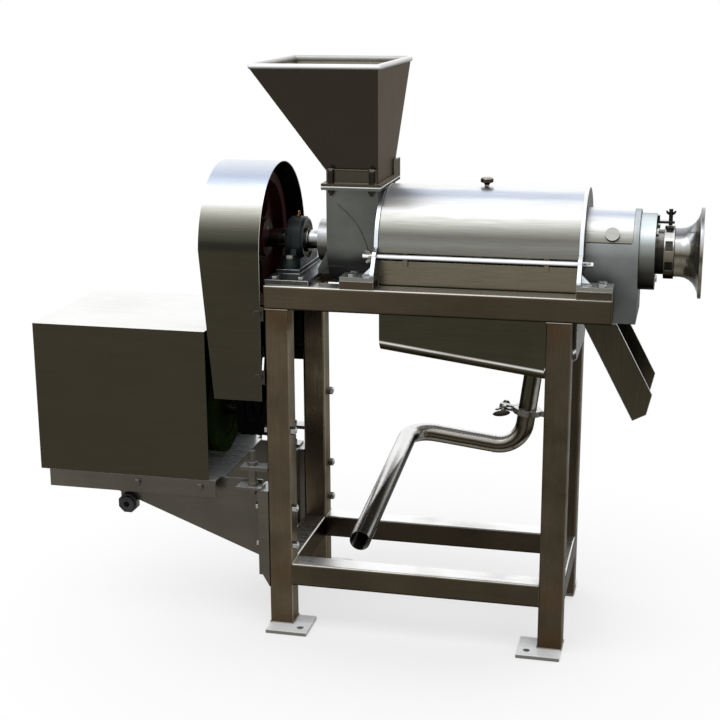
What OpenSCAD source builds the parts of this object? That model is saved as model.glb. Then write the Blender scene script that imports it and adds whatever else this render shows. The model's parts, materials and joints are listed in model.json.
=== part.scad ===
// Single-screw juice extractor on a welded tube stand, in millimetres.
// X runs along the press screw towards the waste end, Y runs away from the working side, Z is up.
// The origin lies on the floor, at the centre of the four anchor holes in the foot plates.

/* [Stand] */
// Outside width of the square tube
tube = 50; // [40:1:60]
// Wall of the square tube
tube_wall = 3; // [2:0.5:5]
// Corner radius of the square tube
tube_corner_r = 5; // [4:0.5:8]
// Length of the stand over its legs
stand_l = 625; // [600:5:680]
// Depth of the stand over its legs
stand_w = 338; // [330:2:380]
// Height of the stand's top face
stand_h = 750; // [720:5:900]
// Height of the lower rails' top face
low_rail_z = 147; // [120:1:200]
// How far the top beams run past the right end plate's feet
beam_lead = 0.5; // [0.5:0.5:12]
// Thickness of a foot plate
foot_t = 8; // [5:1:12]
// Length of a foot plate along X
foot_l = 90; // [80:1:110]
// Depth of a foot plate along Y
foot_w = 88; // [80:1:110]
// How far a foot plate stands out past its leg
foot_lead = 40; // [34:1:50]
// Radius of an anchor hole
foot_hole_r = 7; // [5:0.5:9]
// Distance from an anchor hole to the plate's inner edge
foot_hole_in = 20; // [16:1:26]
// Distance from an anchor hole to the plate's outer edge
foot_hole_out = 25; // [16:1:30]

/* [Press chamber] */
// Height of the screw's axis above the stand
axis_rise = 68; // [66:1:80]
// Left end of the straining chamber
chamber_x = -84; // [-90:1:-80]
// Length of the straining chamber
chamber_l = 402; // [390:1:410]
// Thickness of the end plates
plate_t = 8; // [6:1:10]
// Radius of the end plates' round top
plate_r = 125; // [124:1:130]
// Outside radius of the feed barrel and of the waste housing
barrel_r = 85; // [84:1:88]
// Wall of the feed barrel
barrel_wall = 4; // [3:0.5:5]
// Outside radius of the top cover
cover_r = 122; // [116:1:123]
// Sheet thickness of the top cover
cover_wall = 2; // [1.5:0.5:3]
// Radius of the cover's front rod and of its hinge rod
rod_r = 5; // [4:0.5:6]

/* [Screw] */
// Outside radius of the screw's flight
screw_r = 79; // [74:0.5:79.5]
// Thickness of the flight
flight_t = 5; // [4:0.5:8]
// Radius of the screw's core at the feed end
core_r0 = 34; // [30:1:40]
// Radius of the screw's core at the waste end
core_r1 = 56; // [48:1:62]
// Pitch of the flight at the feed end
pitch_0 = 104; // [90:1:120]
// Pitch of the flight at the waste end
pitch_1 = 62; // [50:1:80]
// Radius of the main shaft
shaft_r = 20; // [17.5:0.5:22]

/* [Strainer] */
// Inside radius of the perforated screen
screen_r = 80.5; // [80:0.5:81]
// Sheet thickness of the screen
screen_t = 1.5; // [1:0.25:1.75]
// Depth of the cage bars and rings round the screen
cage_h = 5; // [3:0.5:6]
// Width of a cage bar
cage_bar_w = 6; // [4:0.5:10]
// Number of cage rings
cage_rings = 5; // [3:1:7]
// Number of cage bars
cage_bars = 8; // [4:1:12]

/* [Feed housing and hopper] */
// Length of the feed housing along X
feed_l = 108; // [100:1:112]
// Height of the feed housing's mouth above the axis
feed_rise = 119; // [116:1:140]
// Thickness of the two mouth flanges
mouth_t = 5.5; // [4:0.5:8]
// How far the mouth flanges stand out past the neck
mouth_edge = 8; // [6:0.5:8]
// Thickness of the gasket between the flanges
gasket_t = 2; // [2:0.5:4]
// Height of the hopper's straight neck
neck_h = 30; // [16:1:34]
// Height of the hopper's sloping part
hopper_h = 205; // [160:1:260]
// Length of the hopper's rim along X
hopper_l = 258; // [220:2:280]
// Depth of the hopper's rim along Y
hopper_w = 318; // [280:2:360]
// Distance from the neck's right side out to the rim's right side
hopper_lean = 17; // [8:1:24]
// Sheet thickness of the hopper
hopper_wall = 2.5; // [2:0.25:4]
// Radius of the round rod at the hopper's rim
rim_r = 6; // [3:0.5:8]

/* [Waste end] */
// Length of the waste housing
waste_l = 104; // [100:1:110]
// Distance from the axis down to the waste housing's lower edge
waste_drop = 133; // [125:1:150]
// Sheet thickness of the waste housing
waste_wall = 3; // [2:0.5:4]
// Height of the bright cover's seam above the axis
seam_rise = 28; // [20:1:40]
// Radius of the end ring
end_ring_r = 77; // [70:1:82]
// Thickness of the end ring
end_ring_t = 31; // [26:1:36]
// Radius of the threaded neck
neck_r = 45; // [43:0.5:46]
// Length of the neck's bare stretch
neck_bare = 16; // [14:1:22]
// Radius of the slotted ring nut
nut_r = 53.5; // [51.5:0.5:58]
// Thickness of the slotted ring nut
nut_t = 20; // [16:1:36]
// Number of slots in the ring nut
nut_slots = 8; // [6:1:10]
// Radius of the pressure wheel
wheel_r = 91; // [84:1:100]
// Length of the pressure wheel
wheel_l = 56; // [48:1:64]
// Thickness of the pressure wheel's edge
wheel_edge = 7; // [5:0.5:9]
// Largest radius of the pressure cone
cone_r = 76; // [70:1:78]

/* [Waste chute] */
// Length of the chute's floor
chute_l = 226; // [180:2:280]
// Slope of the chute below the level
chute_deg = 62; // [58:1:65]
// Height of the chute's side walls
chute_h = 60; // [50:1:64]
// Sheet thickness of the chute
chute_t = 2; // [1.5:0.5:3]

/* [Juice trough and drain] */
// Half of the trough's outside width
trough_half = 115; // [113:1:117]
// How far the trough's walls rise above the stand
trough_rise = 50; // [46:1:51]
// Depth of the trough's ends below the stand's top
trough_depth = 141; // [130:1:160]
// Fall of the trough's floor towards the drain
trough_fall = 7.5; // [6:0.5:8]
// Distance from the chamber's right end back to the floor's lowest line
trough_low = 63; // [56:1:74]
// Inside radius of the trough's lower corners
trough_bend = 25; // [18:1:34]
// Sheet thickness of the trough
trough_t = 2; // [1.5:0.5:3]
// Distance from the chamber's right end back to the drain
drain_back = 94; // [88:1:110]
// Outside radius of the drain pipe
pipe_r = 19; // [16:0.5:20]
// Wall of the drain pipe
pipe_wall = 1.5; // [1:0.25:2]
// Centre radius of the pipe's bends
bend_r = 57; // [50:1:62]
// Length of the stub welded under the trough
stub_l = 100; // [70:1:110]
// Straight pipe between the clamp and the first bend
drop_l = 24; // [20:1:40]
// Straight pipe between the two bends
run_l = 124; // [80:1:140]
// Straight pipe from the second bend to the outlet
leg_l = 485; // [300:5:560]
// Fall of the outlet leg
outlet_fall = 4.5; // [2:0.5:8]
// How far the pipe is swung about its clamp
outlet_turn = 2; // [0:0.5:6]
// Radius of the clamp ferrules
ferrule_r = 25; // [24:0.25:27]

/* [Belt drive] */
// Pitch radius of the large pulley
big_pitch_r = 140; // [130:1:144]
// Pitch radius of the motor pulley
small_pitch_r = 52; // [48:1:60]
// Number of V-belts
belt_count = 3; // [2:1:3]
// Spacing of the V-belts
belt_pitch = 19; // [18:0.5:20]
// Distance from the stand's left face to the middle of the belts
belt_out = 71; // [68:0.5:74]

/* [Belt guard] */
// Outside radius of the guard's round top
guard_r = 175; // [172:1:190]
// Thickness of the guard across the belts
guard_d = 130; // [124:1:136]
// Gap between the guard and the stand
guard_gap = 6; // [4:0.5:10]
// Height of the guard's lower edge
guard_z = 505; // [490:1:560]
// Sheet thickness of the guard
guard_t = 2; // [1.5:0.5:3]
// How much the guard's outer wall leans in at its foot
guard_lean = 26; // [10:1:30]
// How far the guard's round top is centred below the axis
guard_sink = 12; // [0:1:18]

/* [Motor and its cover] */
// Height of the motor tray's top
tray_z = 320; // [300:1:340]
// Height of the motor's axis above its tray
motor_rise = 112; // [108:1:120]
// Radius of the motor's frame over its fins
motor_r = 98; // [90:1:102]
// Length of the motor's finned frame
motor_l = 228; // [200:2:240]
// Length of the motor's fan cowl
cowl_l = 76; // [60:1:84]
// Distance from the stand's left face to the motor cover's right end
box_out = 130; // [126:1:140]
// Length of the motor cover
box_l = 386; // [370:2:420]
// Height of the motor cover
box_h = 326; // [310:2:360]
// Sheet thickness of the motor cover
box_t = 1.5; // [1:0.25:3]
// Length of the motor tray
tray_l = 380; // [370:2:400]
// Height of the motor tray's folded edges
tray_fold = 38; // [34:1:50]
// Plate thickness of the motor tray
tray_t = 3; // [2:0.5:5]

/* [Motor bracket] */
// Thickness of the pads on the legs
pad_t = 15; // [8:1:20]
// Thickness of the bolted bracket plates
bracket_t = 8; // [6:1:10]
// Thickness of the bracket's webs
web_t = 6; // [5:0.5:8]
// Height of the bracket plates' upper end
bracket_top = 306; // [290:1:320]
// Height of the bracket plates' lower end
bracket_low = 116; // [100:1:140]

/* [Hidden] */
$fn = 64;

// Overrun of a cut past the face it leaves
over = 1;
// Gap between pieces that turn or slide beside each other
gap = 0.5;
// Radial play of a running fit
run_fit = 0.05;
// Radial play of a bolt or rod in its hole
rod_play = 0.3;
// Facets round a hexagon head and round an octagonal gland
hex = 6;
octagon = 8;
// Step of a trimmed edge, weld or lap between plates of one piece
lap = 1;
// Step of a plate's edge back from the piece that carries it
edge_in = 2;
// A bolt head's radius and height as shares of the bolt's radius
head_share = 1.85;
head_h_share = 1.3;

// Stand
leg_x = stand_l / 2 - tube / 2;
leg_y = stand_w / 2 - tube / 2;
beam_z = stand_h - tube / 2;
rail_z = low_rail_z - tube / 2;
beam_x0 = -stand_l / 2;
cap_t = tube_wall;
inner_y = stand_w / 2 - tube;
hole_x = stand_l / 2 - foot_l + foot_hole_in;
hole_y = stand_w / 2 + foot_lead - foot_hole_out;

// Press line
axis_z = stand_h + axis_rise;
chamber_x1 = chamber_x + chamber_l;
left_plate_x = chamber_x - plate_t;
right_plate_x = chamber_x1 + plate_t;
foot_reach = 70;
beam_x1 = chamber_x1 + foot_reach + beam_lead;
feed_x = left_plate_x - feed_l;
bore_r = barrel_r - barrel_wall;
waste_x1 = right_plate_x + waste_l;
ring_x1 = waste_x1 + end_ring_t;
nut_x = ring_x1 + neck_bare;
nut_x1 = nut_x + nut_t;
wheel_x1 = nut_x1 + wheel_l;

// Feet of the end plates
spacer_t = 15;
foot_seat_t = 8;
spacer_l = foot_reach;
foot_z = stand_h + spacer_t;
foot_y = stand_w / 2 - tube / 2;
foot_bolt_r = 5;
rod_gap = 1.2;
rod_sink = 7;
rod_y = plate_r + rod_r + rod_gap;
rod_z = axis_z - rod_sink;
ear_r = 13;
ear_in_share = 0.97;
ear_low_share = 0.9;
ear_y_share = 0.55;
ear_z_share = 0.8;
foot_side = 20;
foot_rib = 22.4;
foot_rib_y = 5;
bolt_reach_share = 0.68;
bolt_side = 12;

// Bearing and seat: a pillow block of the 208 size
seat_t = 10;
seat_l = 92;
bearing_w = 50;
bearing_rise = 49.2;
bearing_base_l = 184;
bearing_base_w = 54;
bearing_base_h = 18;
bearing_bolt_y = 68.5;
bearing_bolt_r = 7;
bearing_out_r = 40;
bearing_cap_r = 48;
seat_lead = 5;
bearing_x = beam_x0 + seat_lead + bearing_w / 2;
riser_t = axis_rise - bearing_rise - seat_t;
inner_ring_r = 27;
inner_ring_l = 49;
grub_in = 7;
seat_bolt_share = 0.3;
nipple_r = 3;
nipple_h = 16;
ring_w_share = 0.36;
rib_share = 0.3;
ring_half = ring_w_share * bearing_w;
rib_y = rib_share * bearing_base_l;
bearing_lip_r = 44;
rib_y_share = 0.92;
rib_z_share = 0.75;

// Shaft
shaft_end_r = 17.5;
key_w = 12;
key_h = 8;
key_bite_share = 0.55;
keep_w = 6;
keep_r = 28;
keep_bolt_r = 7;
screw_gap = 1;
wall_play = 2;
seal_r = 44;
seal_l = 32;
seal_t0 = 8;

// Belt drive
groove_h = 13;
groove_w = 9;
groove_open = 16.5;
belt_h = 10;
belt_w = 9;
belt_top_w = 14.8;
belt_drop = 3.5;
rim_over = 5;
land_w = 12.5;
rim_t = 10;
web_hole_r = 31;
web_share = 0.28;
belt_x = beam_x0 - belt_out;
pulley_w = (belt_count - 1) * belt_pitch + 2 * land_w;
pulley_x = belt_x - pulley_w / 2;
shaft_x0 = pulley_x - keep_w;
small_bore_r = 14;
motor_z = tray_z + motor_rise;
big_r = big_pitch_r + rim_over;
small_r = small_pitch_r + rim_over;
belt_span = axis_z - motor_z;
belt_lean = asin((big_pitch_r - small_pitch_r) / belt_span);

// Guard
guard_x1 = beam_x0 - guard_gap;
guard_x0 = guard_x1 - guard_d;
guard_top_z = axis_z - guard_sink;
tab_t = 4;
tab_l = 26;
tab_h = 30;
tab_bolt_r = 9;
guard_tab_rise = 51;
guard_tab_drop = 60;
guard_tabs_z = [guard_z + guard_tab_rise, stand_h - guard_tab_drop];

// Motor and its cover
box_x1 = beam_x0 - box_out;
box_x0 = box_x1 - box_l;
box_z1 = tray_z + box_h;
box_half = stand_w / 2;
tray_lead = 14;
tray_tongue = 10;
motor_back = 11;
tray_x1 = box_x1 + tray_lead;
tray_x0 = tray_x1 - tray_l;
motor_x1 = box_x1 - motor_back;
motor_x0 = motor_x1 - motor_l;
shield_t = 14;
fin_h = 13;
fin_t = 3;
fin_count = 24;
motor_shaft_r = small_bore_r;
foot_pad_y = 95;
foot_pad_w = 45;
foot_pad_t = 14;
terminal_w = 96;
terminal_h = 52;
terminal_shares = [0.3, 0.75];
slot_shares = [0.3, 0.55, 0.8];
nose_share = 0.75;
nose_d = 3;
stay_shares = [[0.4, 0.8], [0.9, 0.2]];
stay_foot_share = 0.2;

// Bracket
pad_x = beam_x0 - pad_t;
bracket_x = pad_x - bracket_t;
bracket_w = 62;
web_in = 34;
web_y = stand_w / 2 - web_in;
web_tip_in = 22;
web_tip_x = tray_x0 + web_tip_in;
web_rise = 26;
web_low_z = bracket_low + web_rise;
lug_t = 5;
lug_l = 48;
arm_lug_t = 8;
arm_lug_l = 60;
arm_lug_rise = 43;
arm_lug_z = bracket_top + arm_lug_rise;
stud_r = 6;
stud_back = 14;
stud_x = bracket_x - stud_back;
stud_rise = 40;
stud_tail = 14;
stud_nut_t = 9;
stud_out_y = 16;
stud_y0 = stand_w / 2 - stud_out_y;
spacer_low = 6;
spacer_r = 9;
plate_bolt_r = 5;
plate_bolt_side = 14;
plate_bolt_y = stand_w / 2 - plate_bolt_side;
plate_bolt_rise = 69;
plate_bolt_drop = 38;
leg_bolt_rise = 134;
plate_bolts_z = [bracket_low + plate_bolt_rise, bracket_top - plate_bolt_drop];
leg_bolt_z = bracket_top + leg_bolt_rise;
leg_nut_t = 12;
pad_slant = 27;
tray_bolt_r = 4;
tray_bolt_shares = [0.535, 0.908];
tray_bolt_drop = 16;
gland_r = 22.5;
gland_t = 14;
gland_in_x = 169.5;
gland_drop = 74;
gland_x = tray_x0 + gland_in_x;
gland_z = tray_z - gland_drop;
gland_tab = 20;
gland_core_share = 0.45;
gland_bore_share = 0.28;
gland_cap_share = 0.75;
gland_cap_t = 7;
gland_nut_share = 0.7;

// Hopper
neck_l = feed_l;
neck_inset = 2;
neck_w = 2 * (barrel_r - neck_inset);
feed_mid = feed_x + feed_l / 2;
mouth_z = axis_z + feed_rise;
hopper_flange_z = mouth_z + mouth_t + gasket_t;
neck_z = hopper_flange_z + mouth_t;
pyramid_z = neck_z + neck_h - mouth_t;
rim_z = pyramid_z + hopper_h;
rim_x1 = feed_x + neck_l + hopper_lean;
rim_x0 = rim_x1 - hopper_l;
stud_len = 30;
stud_in = 12;
stud_side = neck_l / 2 - stud_in;
stud_bolt_r = 3.5;
dome_share = 1.5;
nut_share = 1.6;
box_half_y = barrel_r;
stud_out = 6.8;
stud_y = box_half_y + stud_out;
mouth_side = 12;
mouth_half_y = box_half_y + mouth_side;
clip_w = 37;
clip_h = 34;
foot_rib_share = 0.8;
foot_rib_rise = 0.1;

// Waste end
neck_wall = 6;
bore_neck_r = neck_r - neck_wall;
sleeve_r = bore_neck_r - run_fit;
bush_t = 5;
cone_in = 14;
cone_x0 = right_plate_x + cone_in;
cone_l = 44;
wheel_bore_r = neck_r + gap;
hub_step = 4.5;
wheel_hub_r = nut_r - hub_step;
hub_l_share = 0.22;
flare_degs = [0, 15, 30, 45, 60, 75, 90];
dish_d = 12;
wheel_seat = nut_x1 + wheel_l * hub_l_share;
slot_w = 20;
slot_d = 5;
slot_end_share = 0.15;
arm_w = 16;
arm_t = 5;
arm_gap = 5;
arm_z = axis_z + nut_r + arm_gap;
lock_r = 4;
lock_l = 33;
lock_x = nut_x + nut_t / 2;
lock_head = 7;
squeeze = 12;
stop_gap = 2;
neck_x1 = wheel_seat - squeeze - stop_gap;
ring_bolt_r = 4;
ring_bolt_circle = 65;
ring_bolt_degs = [45, 135, 225, 315];
plug_r = 14;
plug_deg = 60;
plug_t = 6;
plug_stem_share = 0.6;
cover_lap = 12;

// Trough and drain
trough_z = stand_h - trough_depth;
low_x = chamber_x1 - trough_low;
low_z = trough_z - (low_x - chamber_x) * tan(trough_fall);
rise_deg = atan((trough_z - low_z) / (chamber_x1 - low_x));
drain_x = chamber_x1 - drain_back;
drain_z = trough_z - (drain_x - chamber_x) * tan(trough_fall);
cage_r = screen_r + screen_t + cage_h;
ferrule_t = 3;
seal_t = 2;
clamp_w = 12;
clamp_wall = 5;
clamp_r = ferrule_r + clamp_wall;
clamp_bolt = 18;
clamp_lug = 31;
clamp_nut = 11.5;
clamp_nut_deg = 12;
bracket_shares = [0.125, 0.83];
bracket_bar_w = 10;
seal_z = -stub_l - seal_t;
pipe_z = seal_z - ferrule_t;

// Block between the limits given for each axis
module block(x, y, z) {
    translate([x[0], y[0], z[0]]) cube([x[1] - x[0], y[1] - y[0], z[1] - z[0]]);
}

// Solid bar along X between the limits x, about the line (y, z)
module bar_x(x, r, y = 0, z = axis_z) {
    translate([x[0], y, z]) rotate([0, 90, 0]) cylinder(r = r, h = x[1] - x[0]);
}

// Ring along X between the limits x
module ring_x(x, r, bore, y = 0, z = axis_z) {
    difference() {
        bar_x(x, r, y, z);
        bar_x([x[0] - over, x[1] + over], bore, y, z);
    }
}

// Bodies turned about the screw's axis from a profile whose X is the radius and whose Y is world X
module turned_x(z = axis_z) {
    translate([0, 0, z]) rotate([90, 0, 90]) rotate_extrude() children();
}

// Rectangle with round corners, about its centre
module round_box(l, w, r) {
    square([l, w - 2 * r], center = true);
    square([l - 2 * r, w], center = true);
    for (i = [-1, 1], j = [-1, 1]) translate([i * (l / 2 - r), j * (w / 2 - r)]) circle(r);
}

// Square tube of a given length along Z
module square_tube(length) {
    linear_extrude(length) difference() {
        round_box(tube, tube, tube_corner_r);
        round_box(tube - 2 * tube_wall, tube - 2 * tube_wall, tube_corner_r - tube_wall);
    }
}

module tube_x(x, y, z) {
    translate([x[0], y, z]) rotate([90, 0, 90]) square_tube(x[1] - x[0]);
}

module tube_y(y, x, z) {
    translate([x, y[1], z]) rotate([90, 0, 0]) square_tube(y[1] - y[0]);
}

// Copies on the front and on the back of the machine
module both_sides() {
    children();
    mirror([0, 1, 0]) children();
}

// Bolt along Z with its seat at zero: a hexagon head above and a shank below
module hex_bolt(r, shank) {
    cylinder(r = head_share * r, h = head_h_share * r, $fn = hex);
    if (shank > 0) translate([0, 0, -shank]) cylinder(r = r, h = shank);
}

// Wing nut along Z with its seat at zero: the wings' corners are shares of its size
wing_shares = [[-1.5, 1.35], [-1.1, 1.5], [-0.35, 0.75], [0.35, 0.75], [1.1, 1.5], [1.5, 1.35],
               [1.25, 0.6], [0.5, 0.1], [-0.5, 0.1], [-1.25, 0.6]];
wing_hub_share = 0.55;
wing_h_share = 0.75;
wing_t_share = 0.3;
module wing_nut(bore, size) {
    difference() {
        union() {
            cylinder(r = wing_hub_share * size, h = wing_h_share * size);
            rotate([90, 0, 0]) linear_extrude(wing_t_share * size, center = true)
                polygon([for (p = wing_shares) p * size]);
        }
        if (bore > 0) translate([0, 0, -over]) cylinder(r = bore, h = size + 2 * over);
    }
}

// Stand

module legs() {
    color("dimgray") difference() {
        for (i = [-1, 1], j = [-1, 1])
            translate([i * leg_x, j * leg_y, foot_t]) square_tube(stand_h - tube - foot_t);
        bracket_bolt_places(concat(plate_bolts_z, [leg_bolt_z]))
            bar_x([beam_x0 - over, beam_x0 + tube + over], plate_bolt_r + rod_play, 0, 0);
    }
}

module top_beams() {
    color("dimgray") for (j = [-1, 1]) tube_x([beam_x0 + cap_t, beam_x1 - cap_t], j * leg_y, beam_z);
}

module beam_caps() {
    color("dimgray") for (j = [-1, 1], x = [beam_x0, beam_x1 - cap_t])
        translate([x, j * leg_y, beam_z]) rotate([90, 0, 90])
            linear_extrude(cap_t) round_box(tube, tube, tube_corner_r);
}

module cross_rail() {
    color("dimgray") tube_y([-inner_y, inner_y], -leg_x, beam_z);
}

module lower_rails() {
    color("dimgray") {
        for (j = [-1, 1]) tube_x([tube - stand_l / 2, stand_l / 2 - tube], j * leg_y, rail_z);
        for (i = [-1, 1]) tube_y([-inner_y, inner_y], i * leg_x, rail_z);
    }
}

module foot_plates() {
    color("lightgray") for (i = [-1, 1], j = [-1, 1]) mirror([i < 0 ? 1 : 0, 0, 0]) mirror([0, j < 0 ? 1 : 0, 0])
        difference() {
            block([stand_l / 2 - foot_l, stand_l / 2],
                  [stand_w / 2 + foot_lead - foot_w, stand_w / 2 + foot_lead], [0, foot_t]);
            translate([hole_x, hole_y, -over]) cylinder(r = foot_hole_r, h = foot_t + 2 * over);
        }
}

// Bearing and its seat

module bearing_seat() {
    color("silver") difference() {
        union() {
            block([beam_x0, beam_x0 + seat_l], [-stand_w / 2 + seat_t, stand_w / 2 - seat_t],
                  [stand_h, stand_h + seat_t]);
            block([bearing_x - bearing_w / 2, bearing_x + bearing_w / 2],
                  [-bearing_base_l / 2, bearing_base_l / 2],
                  [stand_h + seat_t, stand_h + seat_t + riser_t]);
        }
        for (j = [-1, 1]) translate([bearing_x, j * bearing_bolt_y, stand_h - over])
            cylinder(r = bearing_bolt_r, h = seat_t + riser_t + 2 * over);
    }
}

module bearing_housing() {
    z0 = axis_z - bearing_rise;
    color("darkslategray") difference() {
        union() {
            translate([bearing_x, 0, z0]) linear_extrude(bearing_base_h) {
                square([bearing_base_w - 2 * lap, bearing_base_l - bearing_base_w], center = true);
                for (j = [-1, 1]) translate([0, j * (bearing_base_l - bearing_base_w) / 2])
                    circle(bearing_base_w / 2 - lap);
            }
            bar_x([bearing_x - ring_half, bearing_x + ring_half], bearing_cap_r);
            bar_x([bearing_x - bearing_w / 2 + lap, bearing_x + bearing_w / 2 - lap], bearing_lip_r);
            for (i = [-1, 1]) translate([bearing_x, 0, z0]) rotate([90, 0, 90])
                linear_extrude(rib_share * bearing_w, center = true)
                    polygon([[0, 0], [i * rib_y, 0], [i * rib_y, bearing_base_h],
                             [i * bearing_cap_r * rib_y_share, bearing_rise * rib_z_share], [0, bearing_rise]]);
        }
        bar_x([bearing_x - bearing_w, bearing_x + bearing_w], bearing_out_r);
        translate([0, 0, z0 - bearing_cap_r]) block([bearing_x - bearing_w, bearing_x + bearing_w],
            [-bearing_base_l, bearing_base_l], [0, bearing_cap_r]);
        for (j = [-1, 1]) translate([bearing_x, j * bearing_bolt_y, z0 - over])
            cylinder(r = bearing_bolt_r + rod_play, h = bearing_base_h + 2 * over);
        translate([bearing_x, 0, axis_z]) cylinder(r = nipple_r, h = bearing_rise + over);
    }
}

module bearing_outer_ring() {
    color("silver") ring_x([bearing_x - ring_half, bearing_x + ring_half], bearing_out_r, inner_ring_r + gap);
}

module bearing_inner_ring() {
    x1 = bearing_x + inner_ring_l / 2;
    color("silver") difference() {
        ring_x([bearing_x - inner_ring_l / 2, x1], inner_ring_r, shaft_r);
        for (a = [0, 120]) translate([x1 - grub_in, 0, axis_z]) rotate([a, 0, 0])
            translate([0, 0, shaft_r + wall_play]) cylinder(r = nipple_r, h = inner_ring_r);
    }
}

module bearing_bolts() {
    seat_z = axis_z - bearing_rise + bearing_base_h;
    color("silver") {
        for (j = [-1, 1]) translate([bearing_x, j * bearing_bolt_y, seat_z])
            hex_bolt(bearing_bolt_r, bearing_base_h + riser_t + seat_t - lap);
        for (i = [-1, 1]) both_sides()
            translate([beam_x0 + seat_l / 2 + i * seat_bolt_share * seat_l, -foot_y, stand_h + seat_t])
                hex_bolt(foot_bolt_r, 0);
    }
}

module grease_nipple() {
    cap_h = bearing_cap_r - bearing_out_r;
    color("goldenrod") translate([bearing_x, 0, axis_z + bearing_out_r + lap]) {
        cylinder(r = nipple_r, h = cap_h);
        translate([0, 0, cap_h - lap]) cylinder(r = 1.4 * nipple_r, h = nipple_h / 3, $fn = hex);
        cylinder(r = 0.7 * nipple_r, h = nipple_h);
        translate([0, 0, nipple_h]) sphere(r = nipple_r);
    }
}

// Turning parts on the screw's axis

module main_shaft() {
    color("lightgray") difference() {
        union() {
            bar_x([shaft_x0, right_plate_x], shaft_r);
            bar_x([right_plate_x, neck_x1], shaft_end_r);
        }
        block([shaft_x0 - over, pulley_x + pulley_w], [-key_w / 2, key_w / 2],
              [axis_z + shaft_r - key_h * key_bite_share, axis_z + shaft_r + over]);
    }
}

module pulley_key() {
    color("silver") block([pulley_x, pulley_x + pulley_w], [-key_w / 2, key_w / 2],
                          [axis_z + shaft_r - key_h * key_bite_share, axis_z + shaft_r + key_h * (1 - key_bite_share)]);
}

// Steel core of the screw: a tapered tube with a short plain neck at the feed end
module screw_core() {
    x0 = feed_x + barrel_wall + screw_gap;
    x1 = chamber_x1 - screw_gap;
    color("lightgray") turned_x() polygon([
        [shaft_r, x0], [core_r0, x0], [core_r0, feed_x + feed_l / 2], [core_r1, x1], [shaft_r, x1]]);
}

// Radius of the core at a place along X
function core_radius(x) =
    let (x0 = feed_x + feed_l / 2, x1 = chamber_x1 - screw_gap)
    core_r0 + (core_r1 - core_r0) * max(0, min(1, (x - x0) / (x1 - x0)));

// The flight's rings: its pitch closes steadily from pitch_0 to pitch_1 along the screw.
ring_steps = 32;
flight_x0 = feed_x + barrel_wall + 2 * screw_gap;
flight_x1 = chamber_x1 - 2 * screw_gap;
flight_edge_share = 0.2;
flight_len = flight_x1 - flight_x0 - flight_t;
flight_turns = 2 * flight_len / (pitch_0 + pitch_1);
flight_rings = floor(flight_turns * ring_steps);
function flight_x(turn) =
    flight_x0 + pitch_0 * turn + (pitch_1 - pitch_0) * turn * turn / (2 * flight_turns);
function flight_ring(i) =
    let (turn = flight_turns * i / flight_rings, a = 360 * turn, x = flight_x(turn),
         reach = 1 / cos(180 / ring_steps))
    [for (p = [[core_radius(x) * reach, 0], [screw_r, flight_edge_share * flight_t],
               [screw_r, (1 - flight_edge_share) * flight_t], [core_radius(x + flight_t) * reach, flight_t]])
        [x + p[1], -p[0] * sin(a), axis_z + p[0] * cos(a)]];

module screw_flight() {
    rings = flight_rings + 1;
    points = [for (i = [0 : flight_rings]) each flight_ring(i)];
    sides = [for (i = [0 : flight_rings - 1], j = [0 : 3], half = [0, 1])
        let (a = 4 * i + j, b = 4 * i + (j + 1) % 4)
        half == 0 ? [a, b, a + 4] : [b, b + 4, a + 4]];
    ends = [[0, 2, 1], [0, 3, 2], [4 * rings - 4, 4 * rings - 3, 4 * rings - 2],
            [4 * rings - 4, 4 * rings - 2, 4 * rings - 1]];
    color("silver") polyhedron(points = points, faces = concat(sides, ends));
}

// Half profile of a V-belt pulley: radius along X, width along Y
module pulley_profile(pitch_r, bore, count, hub_r) {
    outer = pitch_r + rim_over;
    w = (count - 1) * belt_pitch + 2 * land_w;
    difference() {
        union() {
            translate([outer - groove_h - rim_t, 0]) square([groove_h + rim_t, w]);
            translate([bore, 0]) square([hub_r - bore, w]);
            translate([bore, w / 2 - w * web_share / 2]) square([outer - groove_h - bore - lap, w * web_share]);
        }
        for (i = [0 : count - 1]) translate([outer, land_w + i * belt_pitch]) polygon([
            [0, groove_open / 2], [-groove_h, groove_w / 2], [-groove_h, -groove_w / 2],
            [0, -groove_open / 2], [over, -groove_open / 2], [over, groove_open / 2]]);
    }
}

module large_pulley() {
    hub_r = 2 * shaft_r;
    hole_circle = (hub_r + big_r - groove_h - rim_t) / 2;
    color("saddlebrown") difference() {
        translate([pulley_x, 0, 0]) turned_x() pulley_profile(big_pitch_r, shaft_r, belt_count, hub_r);
        block([pulley_x - over, pulley_x + pulley_w + over], [-key_w / 2, key_w / 2],
              [axis_z, axis_z + shaft_r + key_h * (1 - key_bite_share)]);
        for (a = [36 : 72 : 360]) rotate_about_axis(a)
            bar_x([pulley_x - over, pulley_x + pulley_w + over], web_hole_r, 0, axis_z + hole_circle);
    }
}

module rotate_about_axis(a) {
    translate([0, 0, axis_z]) rotate([a, 0, 0]) translate([0, 0, -axis_z]) children();
}

module pulley_retainer() {
    color("silver") {
        difference() {
            bar_x([pulley_x - 2 * keep_w, pulley_x], keep_r);
            bar_x([shaft_x0, pulley_x + over], shaft_r);
        }
        translate([pulley_x - 2 * keep_w, 0, axis_z]) rotate([0, -90, 0]) hex_bolt(keep_bolt_r, 0);
    }
}

// Feed housing

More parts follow.
